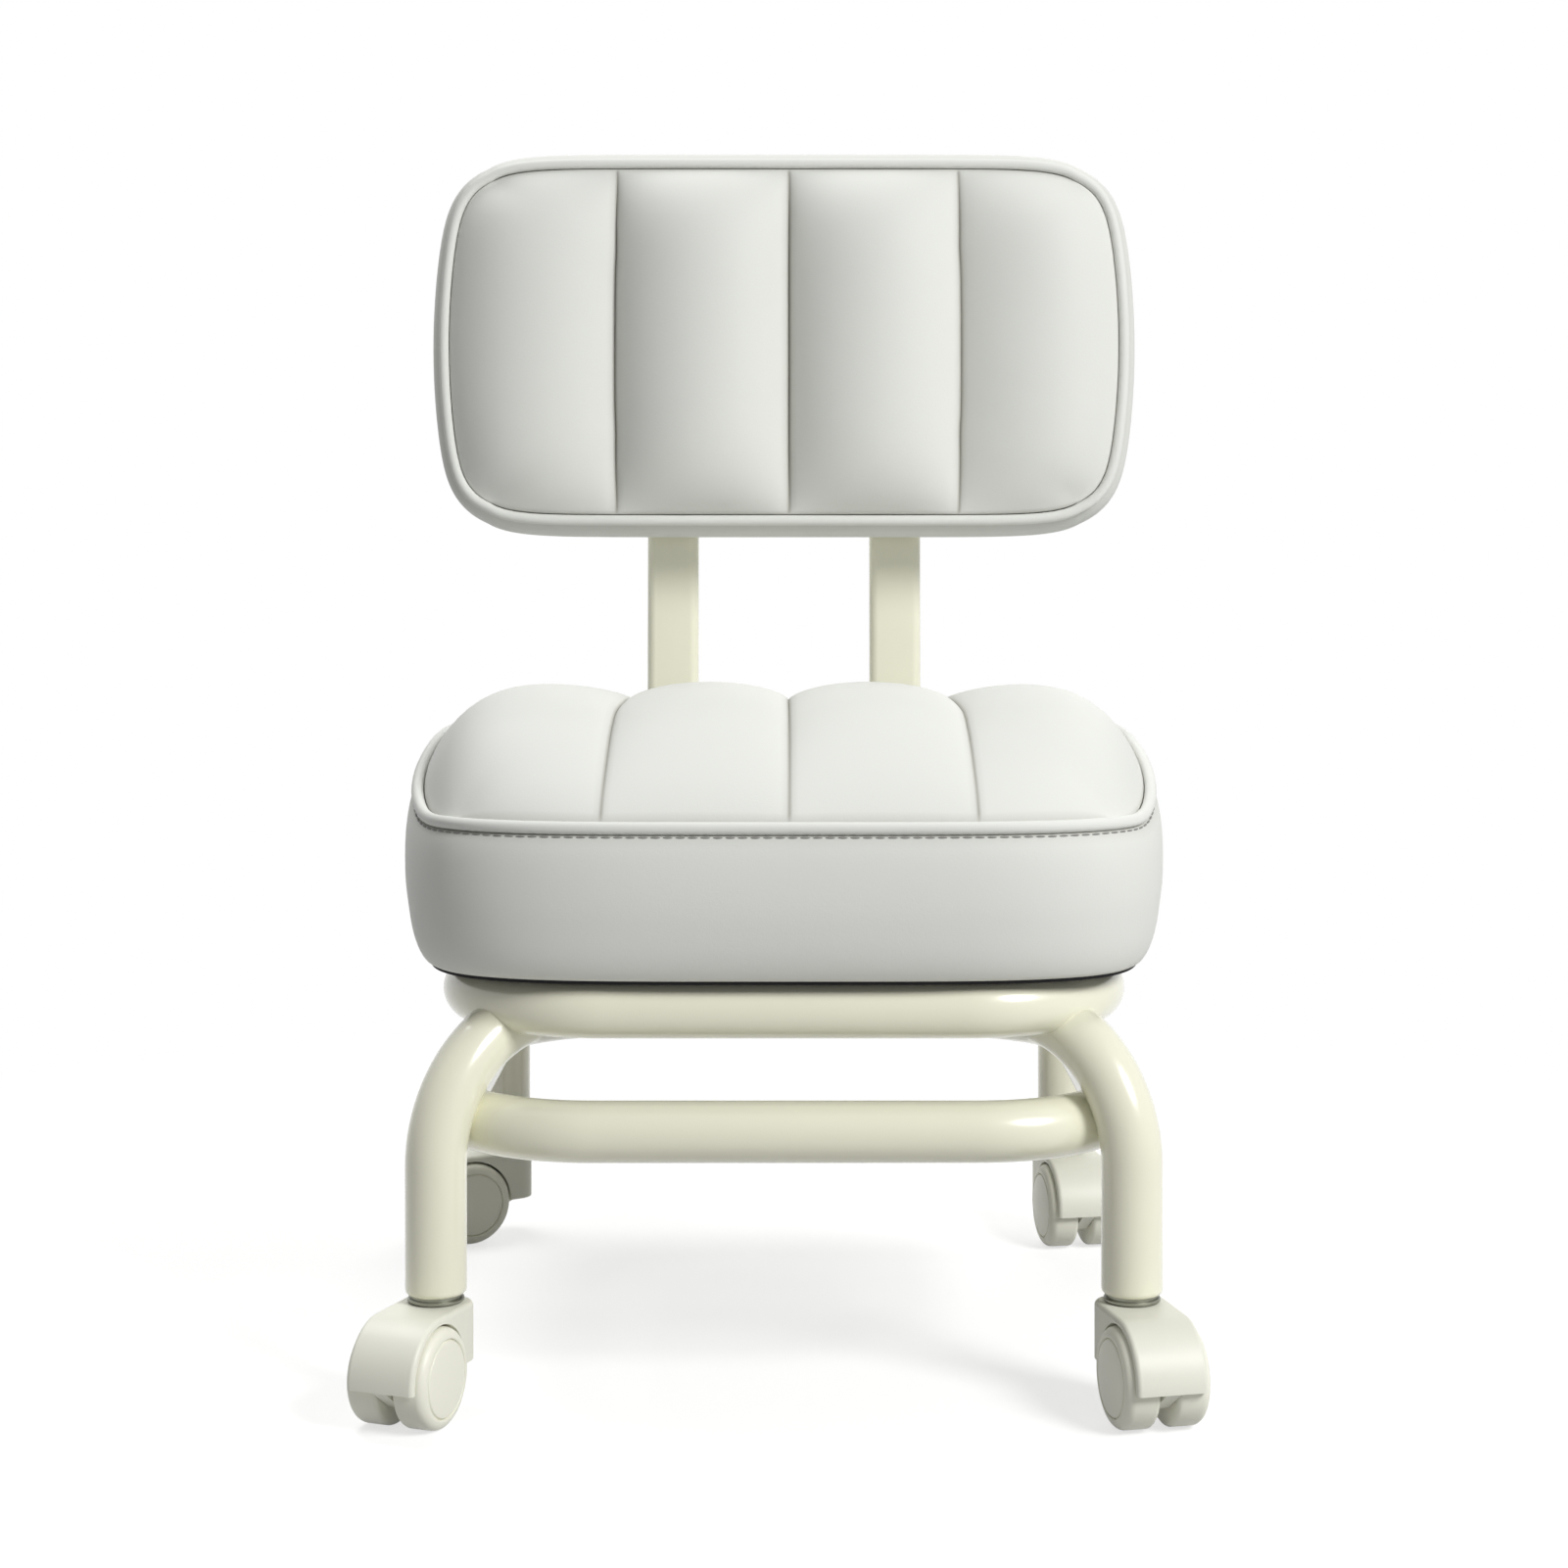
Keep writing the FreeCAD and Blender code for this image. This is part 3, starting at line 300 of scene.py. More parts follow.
def leather_finish(name, colour, pebbles=1500.0):
    """Coated leather with painted shade: a little darker where its mesh's seam mask says so."""
    material = base_finish(
        name, PEBBLES, {"Pebbles per Metre": pebbles}, colour, tone=0.97, roughness=(0.54, 0.62),
        relief=0.22, depth=0.12 * MM, Specular_IOR_Level=0.22, Sheen_Weight=0.03)
    tree = material.node_tree
    shader = tree.nodes["Principled BSDF"]
    tones = shader.inputs["Base Color"].links[0].from_socket
    # The seam mask is painted shade: it darkens the seams, the panel's edge and the groove under the piping
    mask = add_node(tree, "ShaderNodeAttribute", attribute_name="seam")
    shaded = add_node(tree, "ShaderNodeMix", {
        "Factor": mask.outputs["Fac"], "A": tones, "B": (*SEAM_PAINTED_SHADE, 1.0)},
        data_type="RGBA", blend_type="MULTIPLY")
    feed(tree, shader, {"Base Color": shaded.outputs["Result"]})
    return material


def plywood_finish():
    """Birch plywood: long rays of grain on Object coordinates."""
    material, tree = new_material("birch_plywood")
    spot = add_node(tree, "ShaderNodeTexCoord").outputs["Object"]
    stretch = add_node(tree, "ShaderNodeMapping", {"Vector": spot, "Scale": GRAIN_PER_METRE})
    grain = add_node(tree, "ShaderNodeTexNoise", {
        "Vector": stretch, "Scale": 1.0, "Detail": 6.0, "Roughness": 0.6})
    tones = add_node(tree, "ShaderNodeValToRGB", {"Fac": grain})
    for element, position, colour in zip(tones.color_ramp.elements, BLOTCH_RANGE, BIRCH):
        element.position = position
        element.color = (*colour, 1.0)
    bump = add_node(tree, "ShaderNodeBump", {"Height": grain, "Strength": 0.25, "Distance": 0.3 * MM})
    feed(tree, tree.nodes["Principled BSDF"], {"Base Color": tones, "Normal": bump, "Roughness": 0.62})
    return material


BLOTCH_RANGE = (0.3, 0.7)
GRAIN_PER_METRE = (4.0, 90.0, 90.0)
BIRCH = ((0.50, 0.34, 0.19), (0.74, 0.57, 0.37))
# Colour of the painted shade in the seams and under the piping
SEAM_PAINTED_SHADE = (0.42, 0.40, 0.37)
PALE_LEATHER = (0.775, 0.783, 0.742)
IVORY = (0.885, 0.875, 0.70)
WHEEL_WHITE = (0.93, 0.925, 0.805)
SATIN_PEEL = {"Peel per Metre": 520.0}
seat_leather = leather_finish("seat_leather", PALE_LEATHER)
back_leather = leather_finish("back_leather", PALE_LEATHER)
piping_leather = leather_finish("piping_leather", (0.80, 0.808, 0.77), pebbles=2200.0)
panel_leather = leather_finish("rear_panel_leather", darker(PALE_LEATHER, 0.97))
powder_coat = base_finish(
    "ivory_powder_coat", PEEL, {"Peel per Metre": 420.0}, IVORY, tone=0.97, roughness=(0.20, 0.27),
    relief=0.10, depth=0.10 * MM, Coat_Weight=0.6, Coat_Roughness=0.12)
hood_plastic = base_finish(
    "hood_plastic", PEEL, SATIN_PEEL, (0.86, 0.86, 0.755), tone=0.97, roughness=(0.40, 0.48),
    relief=0.06, depth=0.06 * MM)
wheel_plastic = base_finish(
    "wheel_plastic", PEEL, SATIN_PEEL, WHEEL_WHITE, tone=0.96, roughness=(0.36, 0.48),
    relief=0.10, depth=0.08 * MM)
cap_plastic = base_finish(
    "wheel_cap_plastic", PEEL, SATIN_PEEL, WHEEL_WHITE, tone=0.97, roughness=(0.30, 0.40),
    relief=0.08, depth=0.06 * MM)
plug_plastic = base_finish(
    "plug_plastic", PEEL, SATIN_PEEL, (0.80, 0.78, 0.70), tone=0.95, roughness=(0.40, 0.50),
    relief=0.12, depth=0.10 * MM)
dark_steel = base_finish(
    "dark_collar_steel", PEEL, {"Peel per Metre": 2500.0}, (0.31, 0.315, 0.26), tone=0.8,
    roughness=(0.28, 0.42), relief=0.08, depth=0.05 * MM, Metallic=0.9)
bright_steel = base_finish(
    "bright_axle_steel", PEEL, {"Peel per Metre": 3000.0}, (0.62, 0.62, 0.61), tone=0.9,
    roughness=(0.22, 0.34), relief=0.06, depth=0.05 * MM, Metallic=1.0)
zinc_steel = base_finish(
    "zinc_plated_steel", PEEL, {"Peel per Metre": 1800.0}, (0.60, 0.60, 0.58), tone=0.85,
    roughness=(0.30, 0.46), relief=0.10, depth=0.05 * MM, Metallic=1.0)
thread = base_finish(
    "grey_thread", PEBBLES, {"Pebbles per Metre": 4000.0}, (0.27, 0.267, 0.255), tone=0.9,
    roughness=(0.6, 0.75), relief=0.3, depth=0.1 * MM)
# A black dust cover such as these seats have. Its black also stands in for the shade in the gap above the ring
dust_cloth = base_finish(
    "black_dust_cloth", PEBBLES, {"Pebbles per Metre": 1200.0}, (0.018, 0.018, 0.019), tone=0.8,
    roughness=(0.8, 0.9), relief=0.5, depth=0.2 * MM, Specular_IOR_Level=0.2)
plywood = plywood_finish()
print("finishes", len(bpy.data.materials))

# %% [markdown]
# ## Smooth copies of machined pieces
# A CAD node arrives as loose triangles. Its shape is right, but its shading is faceted. Merging a copy's
# doubled points, shading it smooth and marking the sharp angles gives it the clean highlights of a real
# surface. The copy then stands for the node.

# %% Smooth copies
SHARP_ANGLE = math.radians(32.0)
MERGE_GAP = 0.002 * MM


def body_of(node):
    """The moving body that a CAD node belongs to."""
    bodies = frame["record"]["behaviour"]["bodies"]
    return next(body for body, members in bodies.items() if node in members)


def settle(piece, *nodes):
    """Lets a piece ride on its nodes' body and stand for them, which are hidden."""
    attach(piece, body_of(nodes[0]))
    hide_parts(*nodes)
    return piece


@contextmanager
def opened(mesh):
    """A mesh's editable form, written back when the block ends."""
    shape = bmesh.new()
    shape.from_mesh(mesh)
    yield shape
    shape.to_mesh(mesh)
    shape.free()


def shade_smoothly(mesh):
    """Smooth shading that keeps sharp angles."""
    mesh.shade_smooth()
    mesh.set_sharp_from_angle(angle=SHARP_ANGLE)


def smooth_copy(node, material):
    mesh = frame["nodes"][node].data.copy()
    mesh.name = f"{node}_smooth"
    with opened(mesh) as shape:
        bmesh.ops.remove_doubles(shape, verts=shape.verts, dist=MERGE_GAP)
    if "custom_normal" in mesh.attributes:
        mesh.attributes.remove(mesh.attributes["custom_normal"])
    shade_smoothly(mesh)
    mesh.materials.clear()
    mesh.materials.append(material)
    return settle(put(mesh.name, mesh), node)


def dress(node, material):
    """Gives a CAD node that stays its finish."""
    piece = frame["nodes"][node]
    if not piece.material_slots:
        piece.data.materials.append(material)
    for place in piece.material_slots:
        place.material = material


for node in ("back_post_left", "back_post_right", "seat_strap_front", "seat_strap_rear"):
    smooth_copy(node, powder_coat)
smooth_copy("post_caps", plug_plastic)
dress("back_board", plywood)
for node in ("seat_tee_nuts", "back_tee_nuts"):
    dress(node, zinc_steel)
for place in CORNERS:
    smooth_copy(f"caster_hood_{place}", hood_plastic)
    dress(f"caster_axle_{place}", bright_steel)
    dress(f"caster_socket_{place}", plug_plastic)

# %% [markdown]
# ## Bent tubes
# The seat ring, the footrest ring and the legs are round tube bent on a mandrel. A tube could be a
# bevelled curve, but sweeping rings of points one by one gives full control over the rolled lip at a leg's
# end. Each path is straights and arcs, with a side direction at every point.

# %% Bent tubes
TUBE_SIDES = 48
ARC_STEPS = 22
LEG_BEND_RADIUS = 57.0 * MM
LEG_BEND_ANGLE = math.radians(80.0)
LEG_BEND_DROP = 63.0 * MM
RING_CORNER = 60.0 * MM
FOOTREST_NEST = 1.2 * MM
UP = Vector((0, 0, 1))


def wall_faces(rings, count, closed):
    """Faces over rings of points: round to the first ring again, or with a flat face at each end."""
    faces = []
    for ring in range(rings if closed else rings - 1):
        low, high = ring * count, (ring + 1) % rings * count
        for step in range(count):
            after = (step + 1) % count
            faces.append((low + step, low + after, high + after, high + step))
    if not closed:
        faces += [tuple(range(count)), tuple(range((rings - 1) * count, rings * count))]
    return faces


def sweep(name, path, sides_of_path, radii, material, closed, sides=TUBE_SIDES):
    """A round bar: a ring of points at every point of a path, across its side direction."""
    count = len(path)
    points = []
    for index, (spot, side, radius) in enumerate(zip(path, sides_of_path, radii)):
        before = path[index - 1] if closed or index else spot
        after = path[(index + 1) % count] if closed or index < count - 1 else spot
        across = (after - before).cross(side).normalized()
        for step in range(sides):
            turn = 2 * math.pi * step / sides
            points.append(spot + radius * (math.cos(turn) * side + math.sin(turn) * across))
    piece = new_piece(name, points, wall_faces(count, sides, closed), material)
    face_outwards(piece)
    return piece


def face_outwards(piece):
    with opened(piece.data) as shape:
        bmesh.ops.recalc_face_normals(shape, faces=shape.faces)
    shade_smoothly(piece.data)


def rounded_square(half, corner, height):
    """A square with round corners, as points with their outward sides."""
    path, outwards = [], []
    for quarter in range(4):
        middle = math.pi / 4 + quarter * math.pi / 2
        reach = half - corner
        centre = Vector((math.copysign(reach, math.cos(middle)), math.copysign(reach, math.sin(middle)),
                         height))
        for step in range(ARC_STEPS + 1):
            turn = middle + math.pi / 2 * (step / ARC_STEPS - 0.5)
            outward = Vector((math.cos(turn), math.sin(turn), 0))
            path.append(centre + corner * outward)
            outwards.append(outward)
    return path, outwards


ring_low, ring_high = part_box("seat_ring")
tube_radius = (ring_high.z - ring_low.z) / 2
ring_height = (ring_high.z + ring_low.z) / 2
ring_half = ring_high.x - tube_radius
footrest_low, footrest_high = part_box("footrest_ring")
footrest_half = footrest_high.x - tube_radius
footrest_height = (footrest_high.z + footrest_low.z) / 2
footrest_corner = (2 * tube_radius + FOOTREST_NEST) / (math.sqrt(2) - 1)

for node, sizes in (("seat_ring", (ring_half, RING_CORNER, ring_height)),
                    ("footrest_ring", (footrest_half, footrest_corner, footrest_height))):
    path, outwards = rounded_square(*sizes)
    settle(sweep(f"{node}_tube", path, outwards, [tube_radius] * len(path), powder_coat, True), node)
print("rings", round(ring_half, 4), round(footrest_half, 4), "tube radius", round(tube_radius, 4))

# %% [markdown]
# ## Legs
# A leg stands on its caster, then bends in towards the middle and ends under the seat ring. Its lower lip
# is rolled in round the caster's collar: the first few rings of the sweep are a little smaller.

# %% Legs
# The rolled lip: a height above the leg's end in millimetres, and the share of the tube's radius there
LIP = ((0.0, 0.90), (0.35, 0.945), (0.9, 0.98), (1.6, 0.996), (2.4, 1.0))
leg_spread = next(abs(joint["pos_m"][0]) for joint in frame["joints"] if joint["name"].startswith("swivel"))
leg_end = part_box("leg_front_left")[0].z
leg_bend_height = ring_height - LEG_BEND_DROP


def leg_tube(place):
    """A leg: up from its rolled lip, then round its bend towards the middle."""
    x_side, y_side = CORNERS[place]
    foot = Vector((leg_spread * x_side, leg_spread * y_side, 0))
    inward = Vector((-x_side, -y_side, 0)).normalized()
    path = [foot + UP * (leg_end + rise * MM) for rise, _ in LIP]
    radii = [tube_radius * share for _, share in LIP]
    for step in range(ARC_STEPS + 1):
        turn = LEG_BEND_ANGLE * step / ARC_STEPS
        reach = LEG_BEND_RADIUS * (1 - math.cos(turn))
        path.append(foot + inward * reach + UP * (leg_bend_height + LEG_BEND_RADIUS * math.sin(turn)))
        radii.append(tube_radius)
    across = [inward.cross(UP)] * len(path)
    return settle(sweep(f"leg_{place}_tube", path, across, radii, powder_coat, False), f"leg_{place}")


for place in CORNERS:
    leg_tube(place)
print("legs stand", round(leg_spread, 4), "from the middle, from", round(leg_end, 4))

# %% [markdown]
# ## Wheels, caps and collars
# These are turned pieces, so each is a profile spun round an axle. The wheel's outer edge has a broad
# round bevel, and its cap sits in a shallow groove that reads as a fine dark line. The collar between
# hood and leg is dark steel in two tiers.

# %% Wheels, caps and collars
TURN_STEPS = 72
WHEEL_RADIUS = 20.0
WHEEL_INNER = 3.5
WHEEL_OUTER = 17.7
WHEEL_BEVEL = 4.0
WHEEL_INNER_BEVEL = 2.0
CAP_RADIUS = 15.5
CAP_BULGE = 0.8
CAP_ROUND = 0.5
GROOVE_DEPTH = 0.9
AXLE_BORE = 3.05
CAP_SEAT = 14.7
CAP_CLEARANCE = 0.05
CAP_LIFT = 0.3
CAP_RINGS = (0.85, 0.7, 0.5, 0.3, 0.0)
COLLAR_LOW = 43.7
COLLAR_HIGH = 46.7
COLLAR_RADIUS = 11.5
COLLAR_STEP = 1.5
COLLAR_CHAMFER = 0.4
COLLAR_TIER = 1.3


def turned(name, profile, origin, axis, material):
    """Spins a profile of (radius, place along the axis), in millimetres, once round an axis."""
    axis = axis.normalized()
    side = axis.orthogonal().normalized()
    across = axis.cross(side)
    points = []
    for step in range(TURN_STEPS):
        turn = 2 * math.pi * step / TURN_STEPS
        outward = math.cos(turn) * side + math.sin(turn) * across
        points += [origin + MM * (radius * outward + along * axis) for radius, along in profile]
    piece = new_piece(name, points, wall_faces(TURN_STEPS, len(profile), True), material)
    with opened(piece.data) as shape:
        bmesh.ops.remove_doubles(shape, verts=shape.verts, dist=MERGE_GAP)
        bmesh.ops.dissolve_degenerate(shape, edges=shape.edges, dist=MERGE_GAP)
    face_outwards(piece)
    return piece


def quarter_round(radius, along, size, start, steps=6):
    """Points on a quarter circle about (radius, along), from an angle in degrees."""
    turns = [math.radians(start + 90.0 * step / steps) for step in range(steps + 1)]
    return [(radius + size * math.cos(turn), along + size * math.sin(turn)) for turn in turns]


wheel_profile = [(AXLE_BORE, WHEEL_INNER)]
wheel_profile += quarter_round(WHEEL_RADIUS - WHEEL_INNER_BEVEL, WHEEL_INNER + WHEEL_INNER_BEVEL,
                               WHEEL_INNER_BEVEL, -90.0)
wheel_profile += quarter_round(WHEEL_RADIUS - WHEEL_BEVEL, WHEEL_OUTER - WHEEL_BEVEL, WHEEL_BEVEL, 0.0, 9)
wheel_profile += quarter_round(CAP_RADIUS + CAP_ROUND, WHEEL_OUTER - CAP_ROUND, CAP_ROUND, 90.0, 3)
wheel_profile += [(CAP_RADIUS, CAP_SEAT), (AXLE_BORE, CAP_SEAT)]
cap_edge = CAP_RADIUS - CAP_CLEARANCE
cap_shoulder = WHEEL_OUTER - GROOVE_DEPTH
cap_profile = [(0.0, CAP_SEAT + CAP_LIFT), (cap_edge, CAP_SEAT + CAP_LIFT), (cap_edge, cap_shoulder)]
cap_profile += quarter_round(CAP_RADIUS - 2 * CAP_ROUND, cap_shoulder + CAP_ROUND, CAP_ROUND, 0.0, 3)
cap_profile += [(CAP_RADIUS * share, WHEEL_OUTER + CAP_BULGE * (1 - share ** 2)) for share in CAP_RINGS]
collar_tier = COLLAR_LOW + COLLAR_STEP
collar_face = COLLAR_RADIUS - COLLAR_CHAMFER
collar_neck = COLLAR_RADIUS - COLLAR_TIER
collar_profile = [(0.0, COLLAR_LOW), (collar_face, COLLAR_LOW),
                  (COLLAR_RADIUS, COLLAR_LOW + COLLAR_CHAMFER),
                  (COLLAR_RADIUS, collar_tier - COLLAR_CHAMFER), (collar_face, collar_tier),
                  (collar_neck, collar_tier), (collar_neck, COLLAR_HIGH), (0.0, COLLAR_HIGH)]

for joint in frame["joints"]:
    origin = Vector(joint["pos_m"])
    if joint["name"].startswith("roll"):
        name = joint["name"].removeprefix("roll_")
        axis = Vector(joint["axis"]) * (1 if name.endswith("_a") else -1)
        tread = turned(f"wheel_{name}_tread", wheel_profile, origin, axis, wheel_plastic)
        cap = turned(f"wheel_{name}_cap", cap_profile, origin, axis, cap_plastic)
        settle(tread, f"caster_wheel_{name}")
        settle(cap, f"wheel_cap_{name}")
    else:
        place = joint["name"].removeprefix("swivel_")
        foot = Vector((origin.x, origin.y, 0))
        settle(turned(f"collar_{place}", collar_profile, foot, UP, dark_steel), f"caster_stem_{place}")

# %% [markdown]
# ## The cushions' form
# Both cushions are cut the same way: a top panel sewn into four channels, a piped seam round it, and a
# band that bulges and is pulled in under the board. A single closed grid makes that form. Its columns run
# along the channels and crowd together at the seams, and its outer loop goes on down the band, so one
# skin covers all of it. A square grid would have hard corners, so it is squeezed towards a rounded
# outline near its edge only.

# %% The cushions' form
CHANNEL_SPREAD = (0.0, 0.014, 0.045, 0.10, 0.19, 0.30, 0.43, 0.57, 0.70, 0.81, 0.90, 0.955, 0.986, 1.0)
ROWS = 38
EDGE_ONLY = 4.0
PIPING_RADIUS = 2.6
PANEL_GAP = 2.5
LIP_RISE = 0.8
# The skin under the piping: how far inside the piping's middle, and how far below it
GROOVE = ((3.4, 0.8), (1.4, 2.7), (-2.0, 3.0))
# How dark the painted seam shade is on the panel's seams, beside them, on the panel's edge and in the groove's
# loops
SEAM_PAINTED_SHADE_AMOUNTS = {"seam": 0.85, "beside": 0.15, "edge": 0.4, "groove": (0.95, 0.4, 0.2)}
PINNED_SHADE = 0.2


@dataclass
class Cushion:
    """A channelled cushion in millimetres: x across it, y along its channels, z out of its panel.

    A power makes a curve squarer the higher it is. A bow or a taper is a share of the width. outer_start is
    where in its arch an outer channel begins. band and under are loops from the seam down, as (inset, share
    of the height) and (inset, level). lining is how many under loops come before the dust cloth.
    """

    place: Matrix
    half_x: float
    half_y: float
    squareness: tuple
    side_bow: float
    rear_taper: float
    seams: tuple
    seam_bow: float
    seam_height: object
    piping_inset: float
    crest: float
    side_power: float
    end_power: float
    end_fullness: float
    channel_depth: float
    channel_power: float
    outer_start: float
    band: tuple
    lining: int
    under: tuple

    def panel_size(self):
        """Half the panel's width and depth, inside its piping."""
        inset = self.piping_inset + PANEL_GAP
        return self.half_x - inset, self.half_y - inset

    def columns(self):
        """Places across the panel from -1 to 1, close together at the seams."""
        edges = self.edges()
        places = [-1.0]
        for left, right in zip(edges, edges[1:]):
            places += [left + (right - left) * share for share in CHANNEL_SPREAD[1:-1]] + [right]
        return places

    def edges(self):
        return [-1.0, *(seam / self.panel_size()[0] for seam in self.seams), 1.0]

    def rows(self):
        """Places along the panel from -1 to 1, closer together towards the ends."""
        steps = [2 * row / ROWS - 1 for row in range(ROWS + 1)]
        return [(step + math.sin(step * math.pi / 2)) / 2 for step in steps]

    def dip(self, u):
        """Share of the channels' depth at a place across: 1 in a seam, 0 on a channel's crest."""
        edges = self.edges()
        for left, right in zip(edges, edges[1:]):
            if u <= right:
                share = (u - left) / (right - left)
                if left == -1.0:
                    share = self.outer_start + (1 - self.outer_start) * share
                elif right == 1.0:
                    share *= 1 - self.outer_start
                return 1 - max(4 * share * (1 - share), 0.0) ** self.channel_power
        return 0.0

    def panel_spot(self, u, v):
        power = self.squareness[v > 0]
        reach = max(abs(u), abs(v), 1e-9)
        roundness = reach / (abs(u) ** power + abs(v) ** power) ** (1 / power) if reach > 1e-6 else 1.0
        squeeze = 1 + (roundness - 1) * reach ** EDGE_ONLY
        bow = 1 + self.seam_bow * (1 - v * v) * u * u * (1 - u * u)
        panel_x, panel_y = self.panel_size()
        narrowing = 1 - self.side_bow * u * u * v * v - self.rear_taper * (1 + v) / 2
        x = panel_x * u * squeeze * bow * narrowing
        y = panel_y * v * squeeze
        base = self.seam_height(y) + LIP_RISE
        rise = (1 - abs(u) ** self.side_power) * (1 - abs(v) ** self.end_power) ** self.end_fullness
        height = self.crest - base - self.channel_depth * self.dip(u)
        return Vector((x, y, base + height * rise))

    def outward(self, spot, v):
        """The level direction out of the outline at a point of the panel's edge."""
        power = self.squareness[v > 0]
        panel_x, panel_y = self.panel_size()
        x = abs(spot.x / panel_x) ** (power - 1) / panel_x
        y = abs(spot.y / panel_y) ** (power - 1) / panel_y
        return Vector((math.copysign(x, spot.x), math.copysign(y, spot.y), 0)).normalized()

    def rim(self):
        """The panel's edge in order, as (u, v) places."""
        columns, rows = self.columns(), self.rows()
        return ([(u, -1.0) for u in columns[:-1]] + [(1.0, v) for v in rows[:-1]]
                + [(u, 1.0) for u in reversed(columns[1:])] + [(-1.0, v) for v in reversed(rows[1:])])

    def loop(self, inset, drop=0.0, share=None, level=None):
        """A loop round the cushion: below the seam, at a share of the band's height, or level."""
        spots = []
        for u, v in self.rim():
            edge = self.panel_spot(u, v)
            spot = edge + self.outward(edge, v) * (self.piping_inset + PANEL_GAP - inset)
            seam = self.seam_height(edge.y)
            spot.z = seam - drop if share is None else seam * share
            if level is not None:
                spot.z = level
            spots.append(spot)
        return spots


def cushion_skin(name, form, material):
    """The closed grid of a cushion, with its painted seam shade, its creases and its pinned points."""
    columns, rows = form.columns(), form.rows()
    across = len(columns)
    points = [form.panel_spot(u, v) for v in rows for u in columns]
    starts = [row * across + column for row in range(len(rows) - 1) for column in range(across - 1)]
    faces = [(start, start + 1, start + across + 1, start + across) for start in starts]
    grid = {place: index for index, place in enumerate((u, v) for v in rows for u in columns)}
    edge = [grid[place] for place in form.rim()]
    loops = [form.loop(form.piping_inset + inset, drop) for inset, drop in GROOVE]
    loops += [form.loop(inset, share=share) for inset, share in form.band]
    loops += [form.loop(inset, level=level) for inset, level in form.under]
    count = len(edge)
    previous = edge
    for loop in loops:
        current = list(range(len(points), len(points) + count))
        points += loop
        faces += [(previous[i - 1], current[i - 1], current[i], previous[i]) for i in range(count)]
        previous = current
    points.append(Vector((0, 0, form.under[-1][1])))
    faces += [(previous[i - 1], len(points) - 1, previous[i]) for i in range(count)]

    skin = new_piece(name, [form.place @ point for point in points], faces, material)
    # The black dust cloth under the board also paints the shade in the gap between cushion and ring
    skin.data.materials.append(dust_cloth)
    lined = count * (len(form.under) - form.lining + 1)
    for polygon in list(skin.data.polygons)[len(faces) - lined:]:
        polygon.material_index = 1
    face_outwards(skin)
    shades = crease_seams_and_paint_shade(skin.data, across, len(rows), count, set(edge))
    held = [index for index, shade in enumerate(shades) if shade >= PINNED_SHADE]
    held += range(len(points) - 1 - len(form.under) * count, len(points))
    skin.vertex_groups.new(name="pins").add(held, 1.0, "REPLACE")
    return skin


def crease_seams_and_paint_shade(mesh, across, along, count, edge):
    """Writes and returns the painted seam shade of every point, and creases the panel's seams."""
    step = len(CHANNEL_SPREAD) - 1
    seam_columns = range(step, across - 1, step)
    panel_count = across * along
    shades = [0.0] * len(mesh.vertices)
    for index in range(panel_count):
        columns_off = min(abs(index % across - column) for column in seam_columns)
        if index in edge:
            shades[index] = SEAM_PAINTED_SHADE_AMOUNTS["edge"]
        elif columns_off <= 1:
            shades[index] = SEAM_PAINTED_SHADE_AMOUNTS["beside" if columns_off else "seam"]
    for number, shade in enumerate(SEAM_PAINTED_SHADE_AMOUNTS["groove"]):
        low = panel_count + number * count
        shades[low:low + count] = [shade] * count
    # The "seam" attribute holds the painted seam shade that the leather reads
    mesh.attributes.new("seam", "FLOAT", "POINT").data.foreach_set("value", shades)
    creased = []
    for line in mesh.edges:
        first, second = line.vertices
        along_seam = max(first, second) < panel_count and first % across == second % across
        creased.append(1.0 if along_seam and first % across in seam_columns else 0.0)
    mesh.attributes.new("crease_edge", "FLOAT", "EDGE").data.foreach_set("value", creased)
    return shades


print("cushion grid", 4 * (len(CHANNEL_SPREAD) - 1), "by", ROWS)

# %% [markdown]
# ## Filling the cushions
# Foam pushes the leather out between the seams that hold it. Blender's cloth does the same: the seams,
# the piped edge and the underside are pinned, and a little air pressure swells the rest. How far a point
# may move is capped, so the cushion keeps the size it was cut to. One round of subdivision then smooths
# the skin.

# %% Filling the cushions
FILL_FRAMES = 20
FILL_PRESSURE = 4.0
FILL_CAP = 3.0 * MM
LEATHER_STIFFNESS = 40.0
LEATHER_BENDING = 4.0


def fill(skin):
    """Swells a pinned skin with cloth and air pressure, and keeps the capped result."""
    rest = [vertex.co.copy() for vertex in skin.data.vertices]
    cloth = skin.modifiers.new("filling", "CLOTH")
    cloth.settings.vertex_group_mass = "pins"
    cloth.settings.use_pressure = True
    cloth.settings.uniform_pressure_force = FILL_PRESSURE
    cloth.settings.effector_weights.gravity = 0.0
    cloth.settings.tension_stiffness = LEATHER_STIFFNESS
    cloth.settings.compression_stiffness = LEATHER_STIFFNESS
    cloth.settings.bending_stiffness = LEATHER_BENDING
    cloth.collision_settings.use_collision = False
    cloth.point_cache.frame_start = 1
    cloth.point_cache.frame_end = FILL_FRAMES
    for number in range(1, FILL_FRAMES + 1):
        scene.frame_set(number)
    swollen = skin.evaluated_get(bpy.context.evaluated_depsgraph_get())
    moves = [after.co - before for after, before in zip(swollen.data.vertices, rest)]
    skin.modifiers.remove(cloth)
    scene.frame_set(1)
    furthest = 0.0
    for vertex, before, move in zip(skin.data.vertices, rest, moves):
        furthest = max(furthest, move.length)
        if move.length > FILL_CAP:
            move = move.normalized() * FILL_CAP
        vertex.co = before + move
    return furthest


